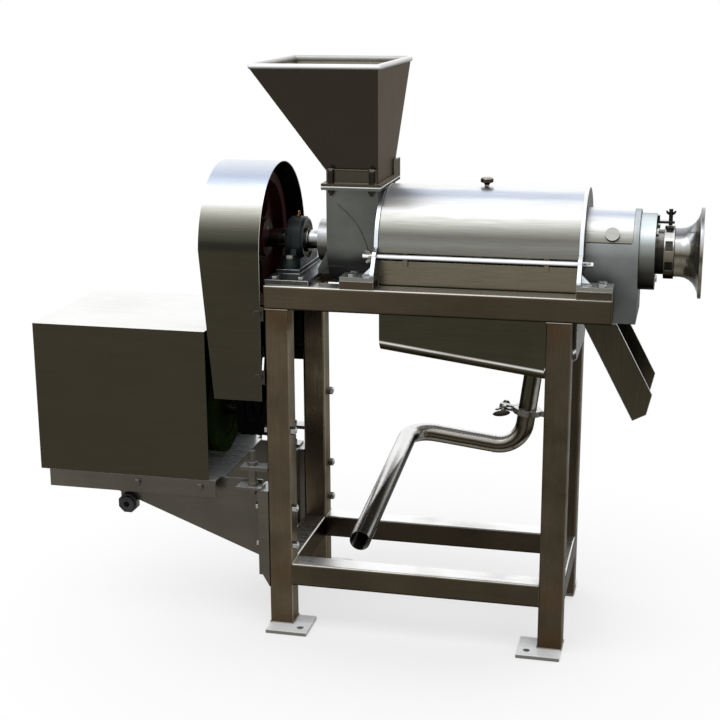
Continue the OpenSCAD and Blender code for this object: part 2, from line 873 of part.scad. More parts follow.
module feed_housing() {
    color("gray") difference() {
        union() {
            bar_x([feed_x, left_plate_x], barrel_r);
            block([feed_x, left_plate_x], [-box_half_y, box_half_y], [axis_z, mouth_z]);
            mouth_plate([mouth_z, mouth_z + mouth_t]);
            both_sides() translate([0, -barrel_r * foot_rib_share, 0]) rotate([90, 0, 0]) linear_extrude(web_t)
                polygon([[beam_x0 + seat_l - edge_in, stand_h + seat_t], [feed_x + lap, stand_h + seat_t],
                         [feed_x + lap, axis_z - barrel_r * foot_rib_rise],
                         [feed_x - lap, axis_z - barrel_r * foot_rib_rise],
                         [beam_x0 + seat_l - edge_in, stand_h + 2 * seat_t]]);
        }
        bar_x([feed_x + barrel_wall, left_plate_x + over], bore_r);
        block([feed_x + barrel_wall, left_plate_x - barrel_wall],
              [barrel_wall - box_half_y, box_half_y - barrel_wall], [axis_z, mouth_z + mouth_t + over]);
        bar_x([feed_x - over, feed_x + feed_l / 2], shaft_r + wall_play);
        hopper_stud_places() translate([0, 0, mouth_z - over])
            cylinder(r = stud_bolt_r + rod_play, h = mouth_t + 2 * over);
    }
}

// Rectangular flange plate between the height limits z
module mouth_plate(z) {
    block([feed_x - mouth_edge, left_plate_x + mouth_edge], [-mouth_half_y, mouth_half_y], z);
}

module seal_housing() {
    color("silver") ring_x([feed_x - seal_l, feed_x], seal_r, shaft_r + seal_t0);
}

module shaft_seal() {
    color("dimgray") ring_x([feed_x - seal_l / 2, feed_x], shaft_r + seal_t0, shaft_r + run_fit);
}

// Hopper

module hopper_stud_places() {
    for (i = [-1, 1]) both_sides() translate([feed_mid + i * stud_side, -stud_y, 0]) children();
}

module hopper_gasket() {
    color("white") difference() {
        mouth_plate([mouth_z + mouth_t, hopper_flange_z]);
        block([feed_x + barrel_wall, feed_x + neck_l - barrel_wall],
              [-neck_w / 2 + barrel_wall, neck_w / 2 - barrel_wall],
              [mouth_z, hopper_flange_z + over]);
        hopper_stud_places() translate([0, 0, mouth_z])
            cylinder(r = stud_bolt_r + rod_play, h = 2 * mouth_t + gasket_t);
    }
}

// Sloping part of the hopper, drawn in by a wall thickness
module hopper_cone(inset, low, high) {
    intersection() {
        translate([0, hopper_w, 0]) rotate([90, 0, 0]) linear_extrude(2 * hopper_w) polygon([
            [feed_x + inset, low], [feed_x + neck_l - inset, low], [feed_x + neck_l - inset, pyramid_z],
            [rim_x1 - inset, rim_z], [rim_x1 - inset, high], [rim_x0 + inset, high], [rim_x0 + inset, rim_z],
            [feed_x + inset, pyramid_z]]);
        translate([rim_x0 - hopper_l, 0, 0]) rotate([90, 0, 90]) linear_extrude(3 * hopper_l) polygon([
            [-neck_w / 2 + inset, low], [neck_w / 2 - inset, low], [neck_w / 2 - inset, pyramid_z],
            [hopper_w / 2 - inset, rim_z], [hopper_w / 2 - inset, high], [inset - hopper_w / 2, high],
            [inset - hopper_w / 2, rim_z], [inset - neck_w / 2, pyramid_z]]);
    }
}

module hopper() {
    color("gray") difference() {
        union() {
            hopper_cone(0, hopper_flange_z, rim_z);
            mouth_plate([hopper_flange_z, hopper_flange_z + mouth_t]);
            translate([left_plate_x + mouth_edge - web_t, mouth_half_y - clip_w, neck_z - lap])
                cube([web_t, clip_w, clip_h]);
        }
        hopper_cone(hopper_wall, hopper_flange_z - over, rim_z + over);
        hopper_stud_places() translate([0, 0, hopper_flange_z - over])
            cylinder(r = stud_bolt_r + rod_play, h = mouth_t + 2 * over);
    }
}

// Round rod laid on the hopper's edge, with round corners
module hopper_rim() {
    x0 = rim_x0 + hopper_wall / 2;
    x1 = rim_x1 - hopper_wall / 2;
    y1 = hopper_w / 2 - hopper_wall / 2;
    color("silver") translate([0, 0, rim_z + rim_r]) {
        for (j = [-1, 1]) translate([x0, j * y1, 0]) rotate([0, 90, 0]) cylinder(r = rim_r, h = x1 - x0);
        for (x = [x0, x1]) translate([x, y1, 0]) rotate([90, 0, 0]) cylinder(r = rim_r, h = 2 * y1);
        for (x = [x0, x1], j = [-1, 1]) translate([x, j * y1, 0]) sphere(r = rim_r);
    }
}

module hopper_studs() {
    nut_h = nut_share * stud_bolt_r;
    dome_r = dome_share * stud_bolt_r;
    color("silver") hopper_stud_places() {
        translate([0, 0, mouth_z - nut_h]) cylinder(r = head_share * stud_bolt_r, h = nut_h, $fn = hex);
        translate([0, 0, mouth_z - 2 * nut_h]) cylinder(r = stud_bolt_r, h = neck_z - mouth_z + 3 * nut_h);
        translate([0, 0, neck_z]) cylinder(r = dome_r, h = stud_len - stud_bolt_r);
        translate([0, 0, neck_z + stud_len - stud_bolt_r]) sphere(r = dome_r);
    }
}

// End plates of the chamber

module end_plate_outline() {
    intersection() {
        circle(plate_r);
        translate([-plate_r, foot_z - axis_z]) square([2 * plate_r, 3 * plate_r]);
    }
    circle(trough_half);
    for (j = [-1, 1]) {
        translate([j * rod_y, rod_z - axis_z]) circle(ear_r);
        polygon([[j * plate_r * ear_in_share, ear_r],
                 [j * (rod_y + ear_r * ear_y_share), rod_z - axis_z + ear_r * ear_z_share],
                 [j * (rod_y + ear_r), rod_z - axis_z],
                 [j * (foot_y + foot_side), foot_z + 2 * foot_seat_t - axis_z],
                 [j * (foot_y + foot_side), foot_z - axis_z],
                 [j * plate_r * ear_low_share, foot_z - axis_z]]);
    }
}

// End plate with its outer face at x and its feet turned outwards by side; the left one is cut flat at its
// top, under the feed mouth's flange
module end_plate(x, side) {
    difference() {
        union() {
            translate([x, 0, axis_z]) rotate([90, 0, 90]) linear_extrude(plate_t) end_plate_outline();
            both_sides() {
                block(side < 0 ? [x - foot_reach + plate_t, x + plate_t] : [x, x + foot_reach],
                      [-foot_y - foot_side, edge_in - inner_y], [foot_z, foot_z + foot_seat_t]);
                translate([side < 0 ? x + lap : x + plate_t - lap, foot_rib_y - foot_y, foot_z + foot_seat_t - lap])
                    rotate([90, 0, 0]) linear_extrude(web_t)
                        polygon([[0, 0], [side * foot_rib, 0], [0, foot_rib]]);
            }
        }
        if (side < 0) block([x - over, x + plate_t + over], [-plate_r, plate_r],
                            [mouth_z - gap, axis_z + 2 * plate_r]);
        bar_x([x - over, x + plate_t + over], bore_r);
        for (j = [-1, 1]) bar_x([x - over, x + plate_t + over], rod_r + rod_play, j * rod_y, rod_z);
        foot_bolt_places(x, side) translate([0, 0, foot_z - over])
            cylinder(r = foot_bolt_r + rod_play, h = foot_seat_t + 2 * over);
    }
}

module foot_bolt_places(x, side) {
    for (k = [-1, 1]) both_sides()
        translate([(side < 0 ? x + plate_t : x) + side * foot_reach * bolt_reach_share, -foot_y + k * bolt_side, 0])
            children();
}

module end_plates() {
    color("silver") {
        end_plate(left_plate_x, -1);
        end_plate(chamber_x1, 1);
    }
}

module foot_spacers() {
    color("gray") difference() {
        both_sides() for (x = [chamber_x - spacer_l, chamber_x1])
            block([x, x + spacer_l], [-stand_w / 2 + lap, -inner_y - lap], [stand_h, foot_z]);
        foot_bolt_places(left_plate_x, -1) translate([0, 0, stand_h - over])
            cylinder(r = foot_bolt_r + rod_play, h = spacer_t + 2 * over);
        foot_bolt_places(chamber_x1, 1) translate([0, 0, stand_h - over])
            cylinder(r = foot_bolt_r + rod_play, h = spacer_t + 2 * over);
    }
}

module foot_bolts() {
    seat_z = foot_z + foot_seat_t;
    color("silver") {
        foot_bolt_places(left_plate_x, -1) translate([0, 0, seat_z]) hex_bolt(foot_bolt_r, seat_z - stand_h);
        foot_bolt_places(chamber_x1, 1) translate([0, 0, seat_z]) hex_bolt(foot_bolt_r, seat_z - stand_h);
    }
}

// Strainer

screen_rows = 9;
screen_slots = 24;
slot_edge_share = 0.16;
slot_open = 3;

module strainer_screen() {
    row_l = chamber_l / screen_rows;
    color("gainsboro") difference() {
        ring_x([chamber_x, chamber_x1], screen_r + screen_t, screen_r);
        for (i = [0 : screen_rows - 1], k = [0 : screen_slots / 2 - 1])
            rotate_about_axis((k + (i % 2) / 2) * 360 / screen_slots)
                block([chamber_x + (i + slot_edge_share) * row_l, chamber_x + (i + 1 - slot_edge_share) * row_l],
                      [-slot_open / 2, slot_open / 2], [axis_z - 2 * screen_r, axis_z + 2 * screen_r]);
    }
}

module strainer_cage() {
    ring_w = 2 * cage_bar_w;
    step = (chamber_l - ring_w) / (cage_rings - 1);
    color("silver") difference() {
        union() {
            for (i = [0 : cage_rings - 1])
                bar_x([chamber_x + i * step, chamber_x + i * step + ring_w], cage_r);
            for (k = [0 : cage_bars - 1]) rotate_about_axis((k + 0.5) * 360 / cage_bars)
                block([chamber_x + lap, chamber_x1 - lap], [-cage_bar_w / 2, cage_bar_w / 2],
                      [axis_z + screen_r, axis_z + cage_r - lap]);
        }
        bar_x([chamber_x - over, chamber_x1 + over], screen_r + screen_t);
    }
}

// Top cover, hinged on the rear rod

cover_x = [chamber_x + gap, chamber_x1 - gap];
knuckle_wall = 4;
knuckle_r = rod_r + knuckle_wall;
knuckle_l = 36;
knuckle_shares = [0.12, 0.5, 0.88];
cover_fold = 8;
knob_r = 13;
knob_neck_r = 8;
knob_stem = 10;
knob_edge = 4;
knob_h = 7;
knob_drop = 12;
knob_dome_r = 17.7;
rod_tail = 21;
rod_end = 10;
rod_nut_r = 9;
rod_nut_t = 7;
wing_size = 10.5;
wing_left_deg = 20;
wing_right_deg = 70;

module top_cover() {
    color("gainsboro") difference() {
        union() {
            difference() {
                bar_x(cover_x, cover_r);
                bar_x([cover_x[0] - over, cover_x[1] + over], cover_r - cover_wall);
                block([cover_x[0] - over, cover_x[1] + over], [-2 * cover_r, 2 * cover_r],
                      [axis_z - 2 * cover_r, axis_z]);
            }
            block(cover_x, [cover_wall - cover_r, cover_fold - cover_r], [axis_z, axis_z + cover_wall]);
            for (s = knuckle_shares) {
                x = cover_x[0] + s * chamber_l - knuckle_l / 2;
                bar_x([x, x + knuckle_l], knuckle_r, rod_y, rod_z);
                block([x, x + knuckle_l], [cover_r - cover_wall, rod_y],
                      [rod_z + knuckle_r - 2 * cover_wall, rod_z + knuckle_r]);
            }
        }
        bar_x([cover_x[0] - over, cover_x[1] + over], rod_r + run_fit, rod_y, rod_z);
        translate([chamber_x + chamber_l / 2, 0, axis_z]) cylinder(r = rod_r, h = 2 * cover_r);
    }
}

module cover_knob() {
    color("silver") translate([chamber_x + chamber_l / 2, 0, axis_z + cover_r - cover_wall]) {
        cylinder(r = rod_r, h = knob_stem + knob_edge / 2);
        translate([0, 0, knob_stem]) cylinder(r1 = knob_neck_r, r2 = knob_r, h = knob_edge, $fn = 48);
        translate([0, 0, knob_stem + knob_edge]) intersection() {
            translate([0, 0, -knob_drop]) sphere(r = knob_dome_r);
            cylinder(r = knob_r, h = knob_h);
        }
    }
}

// Front rod with threaded ends, and the rear rod that the cover turns on
module cover_rods() {
    color("silver") {
        bar_x([left_plate_x - rod_tail, right_plate_x + rod_tail], rod_r, -rod_y, rod_z);
        bar_x([left_plate_x - rod_end, right_plate_x + rod_end], rod_r, rod_y, rod_z);
        for (x = [left_plate_x - rod_nut_t, right_plate_x]) translate([x, rod_y, rod_z]) rotate([0, 90, 0])
            cylinder(r = rod_nut_r, h = rod_nut_t, $fn = hex);
    }
}

module wing_nut_left() {
    color("silver") translate([left_plate_x - gap, -rod_y, rod_z]) rotate([wing_left_deg, 0, 0])
        rotate([0, -90, 0]) wing_nut(rod_r + run_fit, wing_size);
}

module wing_nut_right() {
    color("silver") translate([right_plate_x + gap, -rod_y, rod_z]) rotate([wing_right_deg, 0, 0])
        rotate([0, 90, 0]) wing_nut(rod_r + run_fit, wing_size);
}

// Waste end

// Arch-shaped section of the waste housing, in the YZ plane about the axis
module arch(r) {
    circle(r);
    translate([-r, -waste_drop]) square([2 * r, waste_drop]);
}

module waste_housing() {
    color("darkgray") difference() {
        translate([right_plate_x, 0, axis_z]) rotate([90, 0, 90]) linear_extrude(waste_l) arch(barrel_r);
        translate([right_plate_x - over, 0, axis_z - over]) rotate([90, 0, 90])
            linear_extrude(waste_l - waste_wall + over) arch(barrel_r - waste_wall);
        block([right_plate_x - over, waste_x1 - cover_lap], [-barrel_r - over, barrel_r + over],
              [axis_z + seam_rise, axis_z + 2 * barrel_r]);
        bar_x([right_plate_x, waste_x1 + over], bore_neck_r);
    }
}

module waste_cover() {
    color("gainsboro") {
        difference() {
            ring_x([right_plate_x, waste_x1 - cover_lap], barrel_r, barrel_r - waste_wall);
            block([right_plate_x - over, waste_x1 + over], [-2 * barrel_r, 2 * barrel_r],
                  [axis_z - 2 * barrel_r, axis_z + seam_rise]);
        }
        translate([right_plate_x + waste_l / 2, 0, axis_z]) rotate([plug_deg, 0, 0]) {
            translate([0, 0, barrel_r - lap]) cylinder(r = plug_r * plug_stem_share, h = plug_t);
            translate([0, 0, barrel_r + edge_in]) cylinder(r = plug_r, h = plug_t);
        }
    }
}

module end_ring() {
    color("darkgray") {
        difference() {
            bar_x([waste_x1, ring_x1], end_ring_r);
            bar_x([waste_x1 - over, ring_x1 + over], bore_neck_r);
            for (a = ring_bolt_degs) rotate_about_axis(a)
                bar_x([ring_x1 - 3 * ring_bolt_r, ring_x1 + over], ring_bolt_r, 0, axis_z + ring_bolt_circle);
        }
        ring_x([ring_x1, neck_x1], neck_r, bore_neck_r);
    }
}

module end_ring_bolts() {
    color("silver") for (a = ring_bolt_degs) rotate_about_axis(a)
        translate([ring_x1, 0, axis_z + ring_bolt_circle]) rotate([0, 90, 0])
            hex_bolt(ring_bolt_r, 3 * ring_bolt_r - lap);
}

// Cone that narrows the waste gap, on a sleeve that slides in the neck
module pressure_cone() {
    color("silver") turned_x() polygon([
        [shaft_end_r + bush_t, cone_x0], [shaft_end_r + 2 * bush_t, cone_x0], [cone_r, cone_x0 + cone_l],
        [cone_r, cone_x0 + cone_l + bush_t], [sleeve_r, cone_x0 + cone_l + 2 * bush_t],
        [sleeve_r, wheel_seat - gap], [shaft_end_r + bush_t, wheel_seat - gap]]);
}

module cone_bush() {
    color("darkgoldenrod") ring_x([cone_x0, wheel_seat - gap], shaft_end_r + bush_t, shaft_end_r + run_fit);
}

module ring_nut() {
    color("dimgray") difference() {
        ring_x([nut_x, nut_x1], nut_r, wheel_bore_r - gap + run_fit);
        for (k = [0 : nut_slots - 1]) rotate_about_axis((k + 0.5) * 360 / nut_slots)
            block([nut_x + nut_t * slot_end_share, nut_x1 - nut_t * slot_end_share], [-slot_w / 2, slot_w / 2],
                  [axis_z + nut_r - slot_d, axis_z + nut_r + over]);
    }
}

// Trumpet-shaped hand wheel that turns with the ring nut: a hub bored over the neck's end, and a flare
module pressure_wheel() {
    color("silver") turned_x() polygon(concat(
        [[0, wheel_seat], [wheel_bore_r, wheel_seat], [wheel_bore_r, nut_x1], [wheel_hub_r, nut_x1]],
        [for (a = flare_degs) [wheel_hub_r + (wheel_r - wheel_hub_r) * (1 - cos(a)),
                               wheel_seat + (wheel_x1 - wheel_edge - wheel_seat) * sin(a)]],
        [[wheel_r, wheel_x1], [wheel_r - wheel_edge, wheel_x1], [wheel_hub_r, wheel_x1 - dish_d],
         [0, wheel_x1 - dish_d]]));
}

module lock_arm() {
    color("silver") difference() {
        union() {
            block([ring_x1, lock_x + arm_w / 2], [-arm_w / 2, arm_w / 2], [arm_z, arm_z + arm_t]);
            block([ring_x1, ring_x1 + arm_t], [-arm_w / 2, arm_w / 2], [arm_z, arm_z + arm_w]);
        }
        translate([lock_x, 0, arm_z - over]) cylinder(r = lock_r + run_fit, h = arm_t + 2 * over);
    }
}

module lock_screw() {
    color("silver") translate([lock_x, 0, arm_z - arm_t + lap]) {
        cylinder(r = lock_r, h = lock_l);
        translate([0, 0, lock_l - 2 * lock_head]) wing_nut(0, lock_head);
    }
}

// Waste chute: a folded channel, open on its upper side, under the waste housing
module waste_chute() {
    top_z = axis_z - waste_drop;
    color("dimgray") translate([right_plate_x, 0, top_z]) {
        difference() {
            chute_form(0, barrel_r);
            chute_form(chute_t, barrel_r - chute_t);
        }
    }
}

// Channel's outline swept across the machine, drawn in by an inset on its floor
tip_share = 0.52;
back_share = 0.55;
module chute_form(inset, half) {
    c = cos(chute_deg);
    s = sin(chute_deg);
    floor_at = inset / s;
    extra = inset > 0 ? over : 0;
    top_l = chute_h / s;
    translate([0, half, 0]) rotate([90, 0, 0]) linear_extrude(2 * half) polygon([
        [floor_at - extra * c / s, extra], [floor_at + (chute_l + extra) * c, -(chute_l + extra) * s],
        [(chute_l + extra) * c + tip_share * chute_h * s, -(chute_l + extra) * s + tip_share * chute_h * c],
        [(chute_l - chute_h * back_share + extra) * c + (chute_h + extra) * s,
         -(chute_l - chute_h * back_share + extra) * s + (chute_h + extra) * c],
        [top_l + extra * 2, extra]]);
}

// Juice trough

// U-shaped section with lower corners folded in three flats: its floor lies at zero
bend_steps = [0, 30, 60, 90];
module u_section(half, r, h) {
    polygon(concat([[half, r + h]],
        [for (a = bend_steps) [half - r + r * cos(a), r - r * sin(a)]],
        [for (a = bend_steps) [r * (1 - sin(a)) - half, r - r * cos(a)]],
        [[-half, r + h]]));
}

// Part of the trough's volume between two X limits, over a floor that passes (x, z) at a slope
module trough_part(lim, x, z, deg, inset) {
    half = trough_half - inset;
    intersection() {
        block(lim, [-half, half], [z - 2 * trough_depth, stand_h + trough_rise + (inset > 0 ? over : 0)]);
        translate([x, 0, z]) rotate([0, deg, 0]) translate([-chamber_l, 0, inset]) rotate([90, 0, 90])
            linear_extrude(2 * chamber_l) u_section(half, trough_bend + trough_t - inset, 3 * trough_depth);
    }
}

module trough_volume(inset) {
    trough_part([chamber_x + inset, low_x], low_x, low_z, trough_fall, inset);
    trough_part([low_x, chamber_x1 - inset], low_x, low_z, -rise_deg, inset);
}

module in_drain_frame() {
    translate([drain_x, 0, drain_z]) rotate([0, trough_fall, 0]) children();
}

module juice_trough() {
    color("dimgray") difference() {
        union() {
            difference() {
                trough_volume(0);
                trough_volume(trough_t);
            }
            for (x = [for (s = bracket_shares) chamber_x + chamber_l * s])
                block([x, x + bracket_bar_w], [edge_in - cover_r + cover_wall - trough_t, trough_t - trough_half],
                      [stand_h + trough_rise - bracket_bar_w, axis_z]);
            in_drain_frame() {
                translate([0, 0, -stub_l]) cylinder(r = pipe_r, h = stub_l + trough_t);
                translate([0, 0, -stub_l]) cylinder(r = ferrule_r, h = ferrule_t);
            }
        }
        in_drain_frame() translate([0, 0, -stub_l - over])
            cylinder(r = pipe_r - pipe_wall, h = stub_l + trough_t + 2 * over);
        bar_x([chamber_x - over, chamber_x1 + over], cage_r + gap);
    }
}

// Drain pipe, its clamp and its seal

module clamp_seal() {
    color("white") in_drain_frame() translate([0, 0, seal_z]) difference() {
        cylinder(r = ferrule_r, h = seal_t);
        translate([0, 0, -over]) cylinder(r = pipe_r - pipe_wall, h = seal_t + 2 * over);
    }
}

module pipe_clamp() {
    mid = seal_z + seal_t / 2;
    color("silver") in_drain_frame() translate([0, 0, mid]) difference() {
        union() {
            translate([0, 0, -clamp_w / 2]) cylinder(r = clamp_r, h = clamp_w);
            translate([clamp_r - edge_in, -clamp_w / 2, -clamp_w / 2]) cube([clamp_w, clamp_w, clamp_w]);
            translate([edge_in - clamp_r - clamp_lug, -clamp_w / 2, -clamp_w / 2])
                cube([clamp_lug, clamp_w, clamp_w]);
        }
        translate([0, 0, -ferrule_t - seal_t / 2 - gap])
            cylinder(r = ferrule_r + gap, h = 2 * ferrule_t + seal_t + 2 * gap);
        translate([0, 0, -clamp_w]) cylinder(r = pipe_r + gap, h = 2 * clamp_w);
        translate([-clamp_r - clamp_lug, -lap / 2, -clamp_w]) cube([clamp_lug + clamp_r - pipe_r, lap, 2 * clamp_w]);
        translate([-clamp_r - clamp_bolt, -2 * clamp_w, 0]) rotate([-90, 0, 0])
            cylinder(r = foot_bolt_r + run_fit, h = 4 * clamp_w);
    }
}

module clamp_wing_nut() {
    mid = seal_z + seal_t / 2;
    color("silver") in_drain_frame() translate([-clamp_r - clamp_bolt, -clamp_w / 2 - gap, mid]) rotate([90, 0, 0]) {
        rotate([0, 0, clamp_nut_deg]) wing_nut(0, clamp_nut);
        translate([0, 0, -2 * clamp_w]) cylinder(r = foot_bolt_r, h = 3 * clamp_w);
        translate([0, 0, -2 * clamp_w - foot_bolt_r])
            cylinder(r = head_share * foot_bolt_r, h = foot_bolt_r, $fn = hex);
    }
}

// Ring-shaped section of the pipe
module pipe_section() {
    difference() {
        circle(pipe_r);
        circle(pipe_r - pipe_wall);
    }
}

// Weld bead round a joint of the pipe, standing a little proud inside and outside, along Z from the joint
module pipe_weld() {
    translate([0, 0, -lap]) linear_extrude(2 * lap) difference() {
        circle(pipe_r + lap / 2);
        circle(pipe_r - pipe_wall - lap / 2);
    }
}

// Bend of the pipe in the XY plane about the origin, from the Y axis round towards -X
module pipe_bend() {
    rotate([0, 0, 90]) rotate_extrude(angle = 90) translate([bend_r, 0]) pipe_section();
}

module drain_pipe() {
    low = pipe_z - drop_l - bend_r;
    color("silver") in_drain_frame() rotate([0, 0, outlet_turn]) {
        translate([0, 0, pipe_z]) linear_extrude(ferrule_t) difference() {
            circle(ferrule_r);
            circle(pipe_r - pipe_wall);
        }
        translate([0, 0, pipe_z - drop_l]) linear_extrude(drop_l) pipe_section();
        translate([-bend_r, 0, pipe_z - drop_l]) rotate([90, 0, 0]) rotate([0, 0, 180]) pipe_bend();
        translate([-bend_r - run_l, 0, low]) rotate([0, 90, 0]) {
            translate([0, 0, lap]) linear_extrude(run_l - 2 * lap) pipe_section();
            pipe_weld();
            translate([0, 0, run_l]) pipe_weld();
        }
        translate([-bend_r - run_l, -bend_r * cos(outlet_fall), low - bend_r * sin(outlet_fall)])
            rotate([outlet_fall, 0, 0]) {
                pipe_bend();
                translate([-bend_r, 0, 0]) rotate([90, 0, 0]) linear_extrude(leg_l) pipe_section();
            }
    }
}

// Belt guard

module guard_outline(inset) {
    r = guard_r - inset;
    circle(r);
    translate([-r, guard_z - guard_top_z - (inset > 0 ? over : 0)])
        square([2 * r, guard_top_z - guard_z + (inset > 0 ? over : 0)]);
}

module guard_form(inset) {
    intersection() {
        translate([guard_x0 - over, 0, guard_top_z]) rotate([90, 0, 90])
            linear_extrude(guard_d + 2 * over) guard_outline(inset);
        translate([0, 2 * guard_r, 0]) rotate([90, 0, 0]) linear_extrude(4 * guard_r) polygon([
            [guard_x0 + guard_lean + inset, guard_z - over], [guard_x1 + (inset > 0 ? over : 0), guard_z - over],
            [guard_x1 + (inset > 0 ? over : 0), axis_z + 2 * guard_r], [guard_x0 + inset, axis_z + 2 * guard_r],
            [guard_x0 + inset, axis_z]]);
    }
}

module belt_guard() {
    color("lightgray") {
        difference() {
            guard_form(0);
            guard_form(guard_t);
        }
        both_sides() for (z = guard_tabs_z) {
            block([beam_x0 - tab_l, beam_x0], [guard_t - guard_r, guard_t + tab_t - guard_r],
                  [z - tab_h / 2, z + tab_h / 2]);
            block([beam_x0 - tab_t, beam_x0], [guard_t - guard_r, tube / 2 - guard_r],
                  [z - tab_h / 2, z + tab_h / 2]);
            translate([beam_x0 - tab_l / 2, -guard_r, z]) rotate([90, 0, 0])
                cylinder(r = tab_bolt_r, h = tab_t, $fn = hex);
        }
    }
}

// Belts and pulleys

// Section of a belt: its pitch line lies at radius r
module belt_section(r) {
    top = r + belt_drop;
    polygon([[top, belt_top_w / 2], [top - belt_h, belt_w / 2], [top - belt_h, -belt_w / 2],
             [top, -belt_top_w / 2]]);
}

// Straight run of a belt on one side, tangent to both pulleys
module belt_run(side) {
    run = belt_span * cos(belt_lean);
    translate([0, 0, axis_z]) rotate([-side * belt_lean, 0, 0]) rotate([0, 0, side > 0 ? 90 : -90])
        mirror([0, 0, 1]) translate([0, 0, -lap]) linear_extrude(run + 2 * lap) belt_section(big_pitch_r);
}

// Arc of a belt over one pulley
module belt_arc(z, r, start, sweep) {
    translate([0, 0, z]) rotate([90, 0, 90]) rotate([0, 0, start]) rotate_extrude(angle = sweep) belt_section(r);
}

module v_belts() {
    color("black") for (i = [0 : belt_count - 1]) translate([pulley_x + land_w + i * belt_pitch, 0, 0]) {
        belt_arc(axis_z, big_pitch_r, -belt_lean, 180 + 2 * belt_lean);
        belt_arc(motor_z, small_pitch_r, 180 + belt_lean, 180 - 2 * belt_lean);
        belt_run(1);
        belt_run(-1);
    }
}

module motor_pulley() {
    color("saddlebrown") translate([pulley_x, 0, 0]) turned_x(motor_z)
        pulley_profile(small_pitch_r, motor_shaft_r, belt_count, 2 * motor_shaft_r);
}

// Motor

module motor_frame() {
    core_r = motor_r - fin_h;
    color("darkgreen") difference() {
        union() {
            bar_x([motor_x0, motor_x1], core_r, 0, motor_z);
            for (k = [0 : fin_count - 1]) translate([0, 0, motor_z]) rotate([(k + 0.5) * 360 / fin_count, 0, 0])
                block([motor_x0 + shield_t - edge_in, motor_x1 - shield_t + edge_in],
                      [-fin_t / 2, fin_t / 2], [0, motor_r - lap]);
            bar_x([motor_x1 - shield_t, motor_x1], motor_r, 0, motor_z);
            bar_x([motor_x0 - cowl_l, motor_x0 + shield_t], motor_r, 0, motor_z);
            block([for (t = terminal_shares) motor_x0 + motor_l * t], [-terminal_w / 2, terminal_w / 2],
                  [motor_z, motor_z + motor_r + terminal_h]);
            for (x = [motor_x0 + 2 * shield_t, motor_x1 - 5 * shield_t], j = [-1, 1]) {
                block([x, x + 3 * shield_t], [j * foot_pad_y - foot_pad_w / 2, j * foot_pad_y + foot_pad_w / 2],
                      [tray_z, tray_z + foot_pad_t]);
                translate([x, 0, 0]) rotate([90, 0, 90]) linear_extrude(shield_t) polygon([
                    for (t = stay_shares) [j * core_r * t[0], motor_z - core_r * t[1]],
                    [j * (foot_pad_y + foot_pad_w * stay_foot_share), tray_z + foot_pad_t - lap],
                    [j * core_r * stay_shares[0][0], tray_z + foot_pad_t - lap]]);
            }
        }
        bar_x([motor_x1 - 2 * shield_t, motor_x1 + over], motor_shaft_r + run_fit, 0, motor_z);
        for (t = slot_shares)
            ring_x([motor_x0 - cowl_l - over, motor_x0 - cowl_l + edge_in],
                   core_r * t + fin_t, core_r * t - fin_t, 0, motor_z);
        bar_x([motor_x1 - nose_d, motor_x1 + over], core_r * nose_share, 0, motor_z);
    }
}

module motor_shaft() {
    color("silver") bar_x([motor_x1 - 2 * shield_t, pulley_x + pulley_w], motor_shaft_r, 0, motor_z);
}

// Sheet cover over the motor, open below and towards the belts
module motor_cover() {
    color("gray") difference() {
        block([box_x0, box_x1], [-box_half, box_half], [tray_z, box_z1]);
        block([box_x0 + box_t, box_x1 + over], [box_t - box_half, box_half - box_t], [tray_z - over, box_z1 - box_t]);
    }
}

// Places along the left legs where bolts pass through them, with the outer ends at the given heights
module bracket_bolt_places(heights) {
    both_sides() for (z = heights) translate([0, -plate_bolt_y, z]) children();
}

